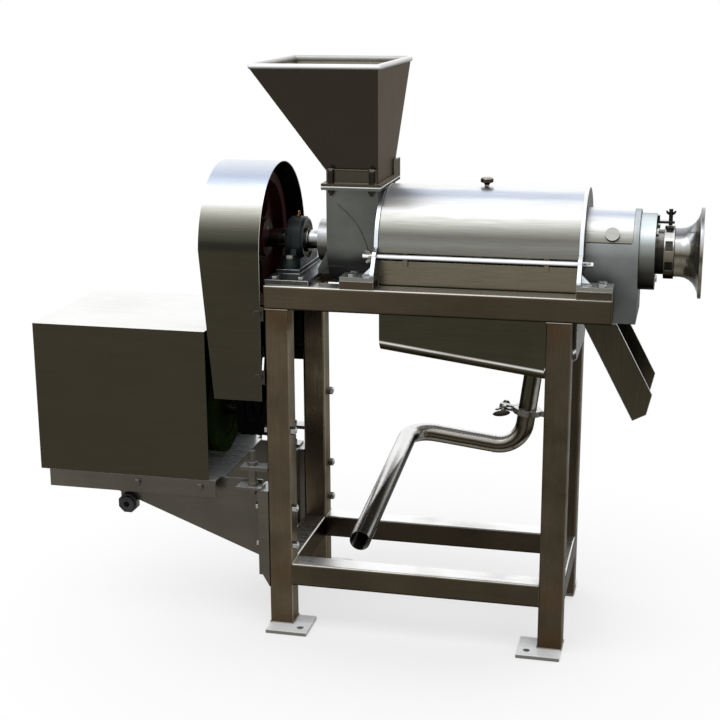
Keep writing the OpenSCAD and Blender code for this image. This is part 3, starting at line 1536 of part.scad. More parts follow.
// Tray, webs, bolted plates, pads and tension screws that carry the motor
module motor_bracket() {
    web_top_z = tray_z - tray_t + lap;
    color("dimgray") difference() {
        union() {
            difference() {
                block([tray_x0, tray_x1], [-stand_w / 2, stand_w / 2], [tray_z - tray_fold, tray_z]);
                block([tray_x0 - over, tray_x1 + over], [tray_t - stand_w / 2, stand_w / 2 - tray_t],
                      [tray_z - tray_fold - over, tray_z - tray_t]);
            }
            block([tray_x1 - lap, tray_x1 + tray_tongue], [lap - web_y, web_y - lap], [tray_z - tray_t, tray_z]);
            both_sides() {
                translate([0, web_t - web_y, 0]) rotate([90, 0, 0]) linear_extrude(web_t) {
                    polygon([[web_tip_x, web_top_z], [bracket_x + lap, web_top_z], [bracket_x + lap, web_low_z],
                             [web_tip_x, web_top_z - edge_in]]);
                    translate([gland_x, gland_z]) polygon([
                        [-gland_tab, gland_drop - tray_t], [-gland_tab, -gland_tab / 2], [-gland_tab / 2, -gland_tab],
                        [gland_tab / 2, -gland_tab], [gland_tab, -gland_tab / 2], [gland_tab, gland_drop - tray_t]]);
                }
                block([bracket_x, pad_x], [-stand_w / 2, bracket_w - stand_w / 2], [bracket_low, bracket_top]);
                translate([0, tube - stand_w / 2, 0]) rotate([90, 0, 0]) linear_extrude(tube) polygon([
                    [pad_x - lap, bracket_low + lap], [beam_x0, bracket_low - pad_slant], [beam_x0, bracket_top],
                    [pad_x - lap, bracket_top]]);
                block([bracket_x - lug_l, pad_x], [-stand_w / 2, lap - web_y],
                      [bracket_top - lap, bracket_top + lug_t]);
                block([beam_x0 - arm_lug_l, beam_x0], [-stand_w / 2, -web_y], [arm_lug_z, arm_lug_z + arm_lug_t]);
                translate([stud_x, -stud_y0, bracket_top - stud_tail]) {
                    cylinder(r = stud_r, h = arm_lug_z - bracket_top + stud_rise + stud_tail);
                    for (z = [stud_tail - stud_nut_t, stud_tail + lug_t - lap,
                              stud_tail + arm_lug_rise + arm_lug_t - lap])
                        translate([0, 0, z]) cylinder(r = head_share * stud_r, h = stud_nut_t, $fn = hex);
                    translate([0, 0, stud_tail + lug_t + spacer_low])
                        cylinder(r = spacer_r, h = arm_lug_rise - lug_t - spacer_low + lap, $fn = octagon);
                }
                for (t = tray_bolt_shares)
                    translate([tray_x0 + tray_l * t, -stand_w / 2, tray_z - tray_bolt_drop])
                        rotate([90, 0, 0]) hex_bolt(tray_bolt_r, tray_t / 2);
            }
        }
        bracket_bolt_places(plate_bolts_z)
            bar_x([bracket_x - over, beam_x0 + over], plate_bolt_r + rod_play, 0, 0);
        both_sides() translate([gland_x, 0, gland_z]) rotate([90, 0, 0])
            cylinder(r = gland_core_share * gland_r + rod_play, h = stand_w / 2);
    }
}

// Bolts through the bracket's plates, pads and legs, and one through each leg above them
module bracket_bolts() {
    nut_x = beam_x0 + tube;
    color("silver") {
        bracket_bolt_places(plate_bolts_z) translate([bracket_x, 0, 0]) rotate([0, -90, 0])
            hex_bolt(plate_bolt_r, nut_x - bracket_x + leg_nut_t);
        bracket_bolt_places([leg_bolt_z]) translate([beam_x0, 0, 0]) rotate([0, -90, 0])
            hex_bolt(plate_bolt_r, tube + leg_nut_t);
        bracket_bolt_places(concat(plate_bolts_z, [leg_bolt_z])) translate([nut_x, 0, 0]) rotate([0, 90, 0])
            cylinder(r = head_share * plate_bolt_r, h = leg_nut_t - edge_in, $fn = hex);
    }
}

// Gland for the motor's cord: an octagonal body and cap in front of the tab, and a nut behind it
module cable_gland() {
    color("black") translate([gland_x, -web_y, gland_z]) rotate([90, 0, 0]) difference() {
        union() {
            rotate([0, 0, 180 / octagon]) {
                cylinder(r = gland_r, h = gland_t, $fn = octagon);
                translate([0, 0, gland_t - lap]) cylinder(r = gland_cap_share * gland_r, h = gland_cap_t + lap);
            }
            translate([0, 0, -web_t - gland_t]) cylinder(r = gland_core_share * gland_r, h = 2 * gland_t + web_t);
            translate([0, 0, -web_t - gland_cap_t])
                cylinder(r = gland_nut_share * gland_r, h = gland_cap_t, $fn = hex);
        }
        translate([0, 0, -web_t - gland_t - over])
            cylinder(r = gland_bore_share * gland_r, h = 3 * gland_t + web_t);
    }
}

legs();
top_beams();
cross_rail();
lower_rails();
foot_plates();
beam_caps();
bearing_seat();
bearing_housing();
bearing_outer_ring();
bearing_bolts();
grease_nipple();
main_shaft();
bearing_inner_ring();
screw_core();
screw_flight();
large_pulley();
pulley_key();
pulley_retainer();
feed_housing();
seal_housing();
shaft_seal();
hopper_gasket();
hopper();
hopper_rim();
hopper_studs();
end_plates();
foot_spacers();
foot_bolts();
strainer_screen();
strainer_cage();
top_cover();
cover_knob();
cover_rods();
wing_nut_left();
wing_nut_right();
waste_housing();
waste_cover();
end_ring();
end_ring_bolts();
pressure_cone();
cone_bush();
ring_nut();
pressure_wheel();
lock_arm();
lock_screw();
waste_chute();
juice_trough();
clamp_seal();
pipe_clamp();
clamp_wing_nut();
drain_pipe();
belt_guard();
v_belts();
motor_pulley();
motor_frame();
motor_shaft();
motor_cover();
motor_bracket();
bracket_bolts();
cable_gland();
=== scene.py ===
import json
import logging
import math
from dataclasses import dataclass, field
from enum import Enum
from typing import Dict, List, Optional, Sequence, Tuple

import bmesh
import bpy
import numpy as np
from mathutils import Matrix, Vector


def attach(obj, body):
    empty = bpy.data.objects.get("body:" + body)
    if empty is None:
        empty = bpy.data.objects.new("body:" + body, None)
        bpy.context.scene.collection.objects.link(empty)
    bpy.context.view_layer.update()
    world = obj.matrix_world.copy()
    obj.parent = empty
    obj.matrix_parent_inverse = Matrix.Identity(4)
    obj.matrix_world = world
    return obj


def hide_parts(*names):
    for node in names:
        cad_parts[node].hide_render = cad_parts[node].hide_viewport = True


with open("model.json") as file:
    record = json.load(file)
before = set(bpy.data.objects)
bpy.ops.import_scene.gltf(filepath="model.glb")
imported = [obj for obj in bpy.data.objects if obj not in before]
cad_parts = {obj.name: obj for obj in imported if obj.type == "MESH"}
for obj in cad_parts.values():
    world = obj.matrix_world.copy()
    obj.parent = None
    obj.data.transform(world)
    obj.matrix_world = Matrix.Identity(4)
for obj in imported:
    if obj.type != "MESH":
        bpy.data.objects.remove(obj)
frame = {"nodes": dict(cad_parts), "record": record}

LOG = logging.getLogger("juice_extractor")
MM = 0.001

Colour = Tuple[float, float, float]
Display = Tuple[int, int, int]
Point = Tuple[float, float, float]
Tones = Tuple[Tuple[float, Colour], ...]
Socket = bpy.types.NodeSocket


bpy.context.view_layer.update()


class Grain(Enum):
    """Which way the brush lines of a metal run."""

    ALONG_X = (0.04, 1.0, 1.0)
    ALONG_Y = (1.0, 0.04, 1.0)
    ALONG_Z = (1.0, 1.0, 0.04)
    ROUND_X = (1.0, 0.08, 0.08)
    NONE = (1.0, 1.0, 1.0)


# ---- materials


class Nodes:
    """A node tree, with one short way to add a node and to fill an input."""

    def __init__(self, tree: bpy.types.NodeTree) -> None:
        """Starts with the tree emptied."""
        self.tree = tree
        tree.nodes.clear()

    def put(self, target: Socket, value: object) -> None:
        """Joins a socket to an input, or sets the input's own value."""
        if isinstance(value, Socket):
            self.tree.links.new(value, target)
        else:
            target.default_value = value

    def add(self, kind: str, inputs: Dict[object, object], out: object = 0, operation: str = "") -> Socket:
        """Adds a node.

        Args:
            kind: its type, less the word ShaderNode.
            inputs: a value or a socket for each input, by name or number.
            out: name or number of the output that is wanted.
            operation: what a math node does.

        Returns:
            That output.
        """
        node = self.tree.nodes.new("ShaderNode" + kind)
        if operation:
            node.operation = operation
        for name, value in inputs.items():
            self.put(node.inputs[name], value)
        return node.outputs[out]

    def math(self, operation: str, a: Socket, b: object) -> Socket:
        """A Math node on a socket and a socket or number."""
        return self.add("Math", {0: a, 1: b}, operation=operation)

    def seen_rays(self) -> Socket:
        """One for camera, glossy and transmission rays, so that metal shows the same background as the camera."""
        path = self.tree.nodes.new("ShaderNodeLightPath")
        total = path.outputs["Is Camera Ray"]
        for name in ("Is Glossy Ray", "Is Transmission Ray"):
            total = self.math("MAXIMUM", total, path.outputs[name])
        return total


class Shader(Nodes):
    """A material's node tree, with the nodes that the finishes share."""

    def __init__(self, name: str) -> None:
        """Starts a material of this name with its output and its Principled shader."""
        self.material = bpy.data.materials.new(name)
        self.material.use_nodes = True
        super().__init__(self.material.node_tree)
        self.out = self.tree.nodes.new("ShaderNodeOutputMaterial")
        self.bsdf = self.tree.nodes.new("ShaderNodeBsdfPrincipled")
        self.put(self.out.inputs[0], self.bsdf.outputs[0])
        places = self.tree.nodes.new("ShaderNodeTexCoord")
        self.coords = places.outputs["Object"]
        self.normals = places.outputs["Normal"]

    def send(self, name: str, value: object) -> None:
        """Puts a value or a socket on one of the shader's inputs."""
        self.put(self.bsdf.inputs[name], value)

    def noise(self, scale: float, stretch: Sequence[float] = (1, 1, 1), detail: float = 4.0,
              rough: float = 0.55) -> Socket:
        """A noise value over the stretched Object coordinates.

        Args:
            scale: cells in a metre.
            stretch: factor along each axis.
            detail: octaves.
            rough: weight of the finer octaves.

        Returns:
            The noise's value, about 0.5 in the mean.
        """
        places = self.add("Mapping", {0: self.coords, "Scale": stretch})
        return self.add("TexNoise", {"Vector": places, "Scale": scale, "Detail": detail, "Roughness": rough})

    def cells(self, scale: float) -> Socket:
        """Distance to the nearest of many scattered points, for pits and castings."""
        return self.add("TexVoronoi", {"Vector": self.coords, "Scale": scale}, "Distance")

    def ramp(self, value: Socket, low: float, high: float, out_low: float = 0.0, out_high: float = 1.0) -> Socket:
        """Maps low..high to out_low..out_high, held at the ends."""
        return self.add("MapRange", {"Value": value, "From Min": low, "From Max": high, "To Min": out_low,
                                     "To Max": out_high})

    def past(self, value: Socket, at: float, half: float) -> Socket:
        """Zero below a value and one above it, blended over a half width on each side."""
        return self.ramp(value, at - half, at + half)

    def mix(self, fac: Socket, a: object, b: object) -> Socket:
        """Mixes two colours, each a tuple or a socket, by a factor socket."""
        node = self.tree.nodes.new("ShaderNodeMix")
        node.data_type = "RGBA"
        self.put(node.inputs["Factor"], fac)
        for value, name in ((a, "A"), (b, "B")):
            socket = next(s for s in node.inputs if s.name == name and s.type == "RGBA")
            self.put(socket, (*value, 1.0) if isinstance(value, tuple) else value)
        return next(s for s in node.outputs if s.type == "RGBA")

    def vector(self, operation: str, inputs: Dict[object, object], out: object = 0) -> Socket:
        """A Vector Math node."""
        return self.add("VectorMath", inputs, out, operation)

    def facing(self, name: str) -> Socket:
        """How far the surface faces along the piece's own X, Y or Z, from -1 to 1."""
        return self.add("SeparateXYZ", {0: self.normals}, name)

    def axis(self, name: str) -> Socket:
        """One of the Object coordinates: X, Y or Z."""
        return self.add("SeparateXYZ", {0: self.coords}, name)

    def towards(self, centre: Point) -> Socket:
        """The offset of a centre from the surface, in metres along its normal: positive where it faces in."""
        offset = self.vector("SUBTRACT", {0: centre, 1: self.coords})
        return self.vector("DOT_PRODUCT", {0: offset, 1: self.normals}, "Value")

    def from_axis(self, centre: Point) -> Socket:
        """Distance from the line along X through a point, in metres."""
        flat = {0: self.coords, 1: (0.0, 1.0, 1.0), 2: (0.0, -centre[1], -centre[2])}
        return self.vector("LENGTH", {0: self.vector("MULTIPLY_ADD", flat)}, "Value")

    def near(self, place: Point, radius: float) -> Socket:
        """One at a place, falling to zero at a radius, in metres."""
        return self.ramp(self.vector("DISTANCE", {0: self.coords, 1: place}, "Value"), 0.0, radius, 1.0, 0.0)

    def dimmed(self, colour: Socket, factor: Socket) -> Socket:
        """A colour times a factor."""
        return self.vector("SCALE", {0: colour, "Scale": factor})

    def tones(self, value: Socket, tones: Tones) -> Socket:
        """Colours by a value from -1 to 1: the first two stops are the ends, the rest lie between."""
        node = self.tree.nodes.new("ShaderNodeValToRGB")
        self.put(node.inputs[0], self.ramp(value, -1.0, 1.0))
        marks = node.color_ramp.elements
        for k, (at, colour) in enumerate(tones):
            mark = marks[k] if k < 2 else marks.new(0.5 + 0.5 * at)
            mark.color = (*colour, 1.0)
        return node.outputs[0]

    def bump(self, height: Socket, strength: float, distance: float) -> None:
        """Adds relief from a height socket to the shader's normal."""
        earlier = self.bsdf.inputs["Normal"].links
        under = {"Normal": earlier[0].from_socket} if earlier else {}
        self.send("Normal", self.add("Bump", {"Strength": strength, "Distance": distance, "Height": height, **under}))


def shown(red: int, green: int, blue: int) -> Colour:
    """A linear colour from display values of 0 to 255: the sRGB curve undone, v to the power of about 2.4."""
    return tuple(v / 255 / 12.92 if v < 11 else ((v / 255 + 0.055) / 1.055) ** 2.4 for v in (red, green, blue))


def stops(low: Display, high: Display, *between: Tuple[float, int, int, int]) -> Tones:
    """A tone ramp's stops: the display colours at -1 and 1, then places between them with theirs."""
    return tuple((at, shown(*rgb)) for at, *rgb in ((-1.0, *low), (1.0, *high), *between))


WHITE = (252, 252, 251)
# How far a surface faces along an axis, between one look and the next: UPRIGHT_TO_FLAT for the specular tint,
# SIDE_TO_END for the painted end colour, LIT_TOP for the tops kept lit against the painted fade, BAND_EDGE for the
# edge of the painted reflection band
UPRIGHT_TO_FLAT = (0.5, 0.85)
SIDE_TO_END = (0.6, 0.95)
LIT_TOP = (0.6, 0.9, 0.0, 0.98)
BAND_EDGE = (-0.06, 0.1)
# Noise values between clean and smudged, and depths of brush lines and of soft dents in metres
SMUDGED = (0.36, 0.66)
LINE_DEPTH, DENT_DEPTH = 0.0004, 0.001


@dataclass(frozen=True)
class Metal:
    """Bare steel, ground or brushed, with painted reflections and painted shade, brush lines, smudges and uneven
    gloss.

    Fields: tones are the colours by how far the surface faces up, from -1 at an underside to 1 at a top, which paint
    the reflection of a bright sky on the tops and shade on the sides and undersides; end is the painted colour of
    faces turned along X, if it differs, and end_above the height from which they have another; raised is a point of an
    axis along X, a radius about it and the tones farther out, which paint highlights on raised pads; above is a height
    and the painted tones from there up; fade is an axis, a range along it and the factors on the tones at its ends,
    which paint light and shade along the piece and which lit_top keeps off the tops; inner is a centre in metres and
    the colour of the walls that face it, painted light and shade inside; metallic is how metallic it is, rim how
    bright its upright faces turn at a grazing angle; rough is the mean roughness and swing how far it varies; grain is
    the brush direction, lines how deep the brush lines show and fine how close they lie; wave is how far the tones
    wander, cloud how deep the smudges are and patch how many lie in a metre; spots are the places that welding has
    tinted, with radii, and tint their colour; wedge is for a bar along Y: two places on it, how far along X its
    painted reflection band reaches at each, and the tones beyond the band.
    """

    name: str
    tones: Tones
    end: Optional[Display] = None
    end_above: Optional[Tuple[float, Display]] = None
    raised: Optional[Tuple[Point, float, Tones]] = None
    above: Optional[Tuple[float, Tones]] = None
    fade: Optional[Tuple[str, float, float, float, float]] = None
    lit_top: bool = False
    inner: Optional[Tuple[Point, Display]] = None
    metallic: float = 1.0
    rim: float = 0.3
    rough: float = 0.3
    swing: float = 0.08
    grain: Grain = Grain.NONE
    lines: float = 0.3
    fine: float = 420.0
    wave: float = 0.10
    cloud: float = 0.16
    patch: float = 5.0
    spots: Tuple[Tuple[Point, float], ...] = ()
    tint: Colour = (0.11, 0.055, 0.02)
    wedge: Optional[Tuple[float, float, float, float, Tones]] = None

    def build(self) -> bpy.types.Material:
        """Returns the material: painted reflections and shade by the facing, then smudges, brush lines and weld tints
        over them.
        """
        s = Shader(self.name)
        s.send("Metallic", self.metallic)
        s.send("Specular Tint", s.ramp(s.facing("Z"), *UPRIGHT_TO_FLAT, self.rim, 1.0))
        cloud = s.noise(self.patch, detail=5.0)
        streak = s.noise(self.fine, self.grain.value, detail=3.0)
        wide = s.noise(self.fine / 9, self.grain.value, detail=2.0)
        wander = s.math("MULTIPLY", s.math("ADD", s.math("ADD", cloud, wide), -1.0), self.wave)
        facing = s.math("ADD", s.facing("Z"), wander)
        # painted reflection and shade: the colour is picked by how far the surface faces up
        shade = s.tones(facing, self.tones)
        # painted highlights on the raised pads beyond the radius
        if self.raised:
            centre, radius, tones = self.raised
            shade = s.mix(s.past(s.from_axis(centre), radius, 0.0003), shade, s.tones(facing, tones))
        # tones of their own above a height, painted reflection and shade the same way
        if self.above:
            level, tones = self.above
            shade = s.mix(s.past(s.axis("Z"), level, 0.001), shade, s.tones(facing, tones))
        # painted light and shade on the faces turned along X
        if self.end:
            end = shown(*self.end)
            if self.end_above:
                level, upper = self.end_above
                end = s.mix(s.past(s.axis("Z"), level, 0.004), end, shown(*upper))
            shade = s.mix(s.ramp(s.math("ABSOLUTE", s.facing("X"), 0.0), *SIDE_TO_END), shade, end)
        # painted shade and light on the walls that face the centre
        if self.inner:
            inside = s.ramp(s.towards(self.inner[0]), 0.0, 0.01)
            shade = s.mix(inside, shade, shown(*self.inner[1]))
            s.send("Metallic", s.ramp(inside, 0.0, 1.0, self.metallic, 0.3))
        # painted reflection: the bright band down the bar
        if self.wedge:
            shade = self.banded(s, shade, wander)
        # painted light and shade along an axis; lit_top keeps the tops lit
        if self.fade:
            along, *span = self.fade
            factor = s.ramp(s.axis(along), *span)
            if self.lit_top:
                factor = s.math("MAXIMUM", factor, s.ramp(s.facing("Z"), *LIT_TOP))
            shade = s.dimmed(shade, factor)
        smudge = s.ramp(s.math("ADD", s.math("MULTIPLY", cloud, 0.7), s.math("MULTIPLY", wide, 0.3)),
                        *SMUDGED, 1 + self.cloud, 1 - self.cloud)
        brushed = s.ramp(streak, 0.3, 0.7, 1 + 0.25 * self.lines, 1 - 0.25 * self.lines)
        shade = s.dimmed(shade, s.math("MULTIPLY", smudge, brushed))
        for place, radius in self.spots:
            shade = s.mix(s.math("MULTIPLY", s.near(place, radius), s.ramp(cloud, 0.3, 0.6)), shade, self.tint)
        s.send("Base Color", shade)
        gloss = s.math("ADD", s.math("MULTIPLY", streak, 0.5), s.math("MULTIPLY", cloud, 0.5))
        s.send("Roughness", s.ramp(gloss, 0.35, 0.65, self.rough - self.swing, self.rough + self.swing))
        s.bump(streak, 0.1 * self.lines, LINE_DEPTH)
        s.bump(s.noise(14.0, detail=2.0), 0.2, DENT_DEPTH)
        return s.material

    def banded(self, s: Shader, shade: Socket, wander: Socket) -> Socket:
        """Lays the narrowing painted reflection band of the wedge over the bar's part in front of Y = -0.05."""
        *reach, tones = self.wedge
        beyond = s.math("SUBTRACT", s.math("ADD", s.facing("X"), wander), s.ramp(s.axis("Y"), *reach))
        leg = s.mix(s.ramp(beyond, *BAND_EDGE), shown(*WHITE), s.tones(s.facing("X"), tones))
        return s.mix(s.ramp(s.axis("Y"), -0.07, -0.03, 1.0, 0.0), shade, leg)


@dataclass(frozen=True)
class Blasted:
    """Bead-blasted or pickled stainless: a grey with painted reflection and shade by how far it faces up, with a fine
    grain and rub marks.

    Fields: tones are the painted colours by the facing, rough the roughness and cloud how deep the rub marks are; rim
    is how bright it turns at a grazing angle, and fade two heights with the factors on the tones at them, painted
    shade below the first and painted light above the second; turned_from is the place along X from which the piece
    is turned, not blasted, and the painted tones there.
    """

    name: str
    tones: Tones
    rough: float = 0.5
    cloud: float = 0.14
    rim: float = 0.35
    fade: Tuple[float, float, float, float] = (0.0, 1.0, 1.0, 1.0)
    turned_from: Optional[Tuple[float, Tones]] = None

    def build(self) -> bpy.types.Material:
        """Returns the material: the tones and the height fade paint reflection and shade, fine noise gives the grain,
        broad noise the rubbed patches.
        """
        s = Shader(self.name)
        s.send("Metallic", 1.0)
        s.send("Specular Tint", (self.rim, self.rim, self.rim, 1.0))
        fine = s.noise(1500.0, detail=2.0)
        cloud = s.noise(9.0, detail=5.0)
        wander = s.math("MULTIPLY", s.math("ADD", cloud, -0.5), 0.15)
        facing = s.math("ADD", s.facing("Z"), wander)
        # painted reflection and shade by how far the surface faces up
        shade = s.tones(facing, self.tones)
        if self.turned_from:
            at, tones = self.turned_from
            shade = s.mix(s.ramp(s.axis("X"), at, at + 0.0004), shade, s.tones(facing, tones))
        # painted shade low down and painted light higher up, by height
        shade = s.dimmed(shade, s.ramp(s.axis("Z"), *self.fade))
        rubbed = s.ramp(cloud, *SMUDGED, 1 + self.cloud, 1 - self.cloud)
        s.send("Base Color", s.dimmed(shade, s.math("MULTIPLY", rubbed, s.ramp(fine, 0.4, 0.8, 1.06, 0.85))))
        s.send("Roughness", s.ramp(cloud, 0.35, 0.65, self.rough - 0.08, self.rough + 0.08))
        s.bump(fine, 0.25, 0.0003)
        return s.material


@dataclass(frozen=True)
class Paint:
    """Painted or primed iron: pebbled skin, worn spots and dust."""

    name: str
    base: Display
    worn: Display
    rough: float = 0.45
    pebble: float = 260.0
    relief: float = 0.35
    shine: float = 0.5

    def build(self) -> bpy.types.Material:
        """Returns the material: cell noise gives the cast skin, broad noise the wear."""
        s = Shader(self.name)
        cloud = s.noise(22.0, detail=6.0, rough=0.65)
        base = shown(*self.base)
        shade = s.mix(s.ramp(cloud, 0.52, 0.68), base, shown(*self.worn))
        s.send("Base Color", s.mix(s.ramp(s.noise(90.0), 0.4, 0.7, 0.0, 0.3), shade, tuple(0.6 * c for c in base)))
        s.send("Roughness", s.ramp(cloud, 0.3, 0.7, self.rough - 0.1, self.rough + 0.15))
        s.send("Specular IOR Level", self.shine)
        s.bump(s.cells(self.pebble), self.relief, 0.0005)
        return s.material


@dataclass(frozen=True)
class Rubber:
    """Rubber and plastic: dull, with a faint grain and rubbed lighter patches."""

    name: str
    base: Colour
    rubbed: Colour
    rough: float = 0.6
    grain: float = 700.0
    shine: float = 0.25

    def build(self) -> bpy.types.Material:
        """Returns the material: noise mixes the two colours and roughens the skin."""
        s = Shader(self.name)
        cloud = s.noise(30.0, detail=5.0)
        s.send("Base Color", s.mix(s.ramp(cloud, 0.45, 0.7), self.base, self.rubbed))
        s.send("Roughness", s.ramp(cloud, 0.3, 0.7, self.rough - 0.08, self.rough + 0.08))
        s.send("Specular IOR Level", self.shine)
        s.bump(s.noise(self.grain), 0.2, 0.0003)
        return s.material


LEG_X, LEG_Y = 0.2875, 0.144
WELD_SPOTS = tuple(((i * LEG_X, -LEG_Y, z), 0.055) for i in (-1, 1) for z in (0.69, 0.122, 0.02))

# Painted reflections and shade: each table gives the colour by how far a surface faces up, white tops for the bright
# sky reflected in them and darker sides and undersides for shade; the bright stops between, such as TROUGH's thin
# lines at the folds, the bands of PIPE and PIPE_LEG, and the bright parts of EDGE, PAD and COVER, are painted
# highlights and reflections.
TUBE = stops((26, 23, 19), WHITE, (-0.3, 46, 40, 32), (0, 66, 58, 46), (0.4, 92, 84, 70), (0.75, 214, 212, 206))
SHEET = stops((26, 24, 20), WHITE, (-0.4, 46, 43, 36), (0, 57, 53, 42), (0.4, 96, 91, 78), (0.75, 226, 226, 222))
PLATE = stops((44, 42, 36), (248, 250, 252), (0, 112, 110, 102), (0.4, 190, 193, 196), (0.8, 244, 247, 250))
RIM = stops((60, 56, 50), WHITE, (-0.5, 96, 92, 84), (-0.2, 170, 168, 164), (0.1, 236, 236, 236))
ROD = stops((50, 47, 40), (252, 252, 252), (-0.6, 76, 72, 64), (-0.35, 150, 148, 142), (-0.05, 236, 238, 243),
    (0.35, *WHITE), (0.7, 222, 226, 234))
PIPE = stops((16, 14, 11), WHITE, (-0.8, 24, 21, 16), (-0.62, 112, 106, 92), (-0.44, 130, 124, 108),
    (-0.3, 36, 33, 26), (-0.2, 30, 27, 21), (-0.05, 74, 69, 57), (0.14, 40, 36, 28), (0.22, 44, 40, 32),
    (0.34, 116, 111, 100), (0.46, 176, 172, 163), (0.58, 172, 168, 159), (0.7, 248, 247, 245), (0.8, *WHITE))
PIPE_LEG = stops((34, 31, 25), (36, 33, 28), (-0.3, 52, 49, 42), (0.3, 58, 54, 47), (0.68, 76, 72, 64),
    (0.8, 190, 187, 180), (0.86, 200, 198, 192), (0.92, 104, 100, 91))
WING = stops((34, 32, 28), WHITE, (-0.1, 70, 66, 58), (0.2, 120, 116, 108), (0.5, 236, 236, 236))
BAND = stops((40, 37, 30), WHITE, (0, 100, 94, 80), (0.3, 112, 107, 92))
TROUGH = stops((40, 37, 30), WHITE, (-0.92, 62, 58, 48), (-0.85, 228, 225, 219), (-0.77, 58, 54, 45),
    (-0.3, 62, 58, 48), (-0.2, 58, 54, 44), (-0.13, 228, 226, 220), (-0.06, 55, 52, 41), (0, 53, 50, 39),
    (0.4, 92, 87, 74), (0.75, 226, 226, 222))
DARK = stops((16, 15, 13), (212, 212, 212), (-0.2, 26, 24, 21), (0.3, 52, 49, 44), (0.6, 104, 101, 94))
PAD = stops((28, 25, 20), (150, 148, 144), (-0.3, 60, 56, 48), (0, 98, 94, 82), (0.3, 118, 114, 102),
    (0.45, 224, 223, 220), (0.75, 228, 228, 228))
EDGE = stops((96, 92, 84), WHITE, (0, 196, 197, 197), (0.5, 236, 238, 242))
KNOB = stops((40, 34, 28), (176, 170, 162), (-0.5, 58, 48, 40), (-0.1, 50, 40, 32), (0.25, 84, 72, 62),
    (0.5, 240, 238, 234), (0.75, 126, 118, 110))
SEAT = stops((24, 24, 22), (146, 152, 156), (0, 70, 70, 64), (0.4, 92, 96, 96), (0.8, 120, 126, 130))
FOOT = stops((36, 34, 29), (244, 248, 252), (0, 116, 115, 108), (0.4, 178, 182, 182), (0.8, 230, 235, 240))
RING = stops((52, 50, 44), (248, 250, 253), (-0.35, 150, 154, 156), (0, 218, 226, 236), (0.5, 234, 240, 247))
WEB = stops((30, 28, 25), (232, 234, 236), (0, 76, 72, 64), (0.5, 126, 126, 124))
COVER = stops((60, 57, 48), (254, 254, 255), (0, 110, 108, 99), (0.16, 126, 127, 121), (0.29, 113, 112, 105),
    (0.43, 158, 159, 151), (0.585, 196, 197, 193), (0.7, 250, 251, 251), (0.84, 243, 246, 250), (0.9, 206, 214, 230),
    (0.955, 216, 224, 240), (0.985, 250, 252, 254))
GUARD = stops((24, 22, 18), (236, 241, 248), (-0.2, 57, 52, 42), (0.05, 55, 52, 42), (0.12, 42, 40, 33),
    (0.16, 46, 45, 38), (0.2, 66, 65, 56), (0.3, 84, 83, 74), (0.38, 118, 116, 105), (0.54, 168, 168, 160),
    (0.66, 230, 235, 242), (0.8, 216, 226, 241), (0.88, 196, 207, 229), (0.95, 218, 227, 241))
HOPPER = stops((24, 22, 18), WHITE, (-0.6, 42, 39, 32), (-0.35, 50, 46, 39), (0, 66, 61, 52), (0.4, 96, 91, 79),
    (0.8, 220, 220, 216))
TURNED = stops((24, 22, 18), (170, 172, 178), (-0.85, 74, 70, 60), (-0.6, 112, 106, 92), (-0.4, 84, 79, 67),
    (-0.15, 112, 107, 94), (0.05, 64, 60, 51), (0.2, 132, 128, 116), (0.4, 186, 187, 187), (0.6, 226, 230, 236),
    (0.8, 106, 106, 108))
RING_END = stops((28, 26, 22), (236, 246, 250), (-0.4, 52, 50, 45), (0, 96, 97, 92), (0.3, 146, 151, 150),
    (0.62, 222, 232, 236))
BLASTED = stops((34, 32, 28), (206, 213, 219), (-0.5, 70, 69, 64), (0, 112, 115, 113), (0.5, 148, 152, 152))
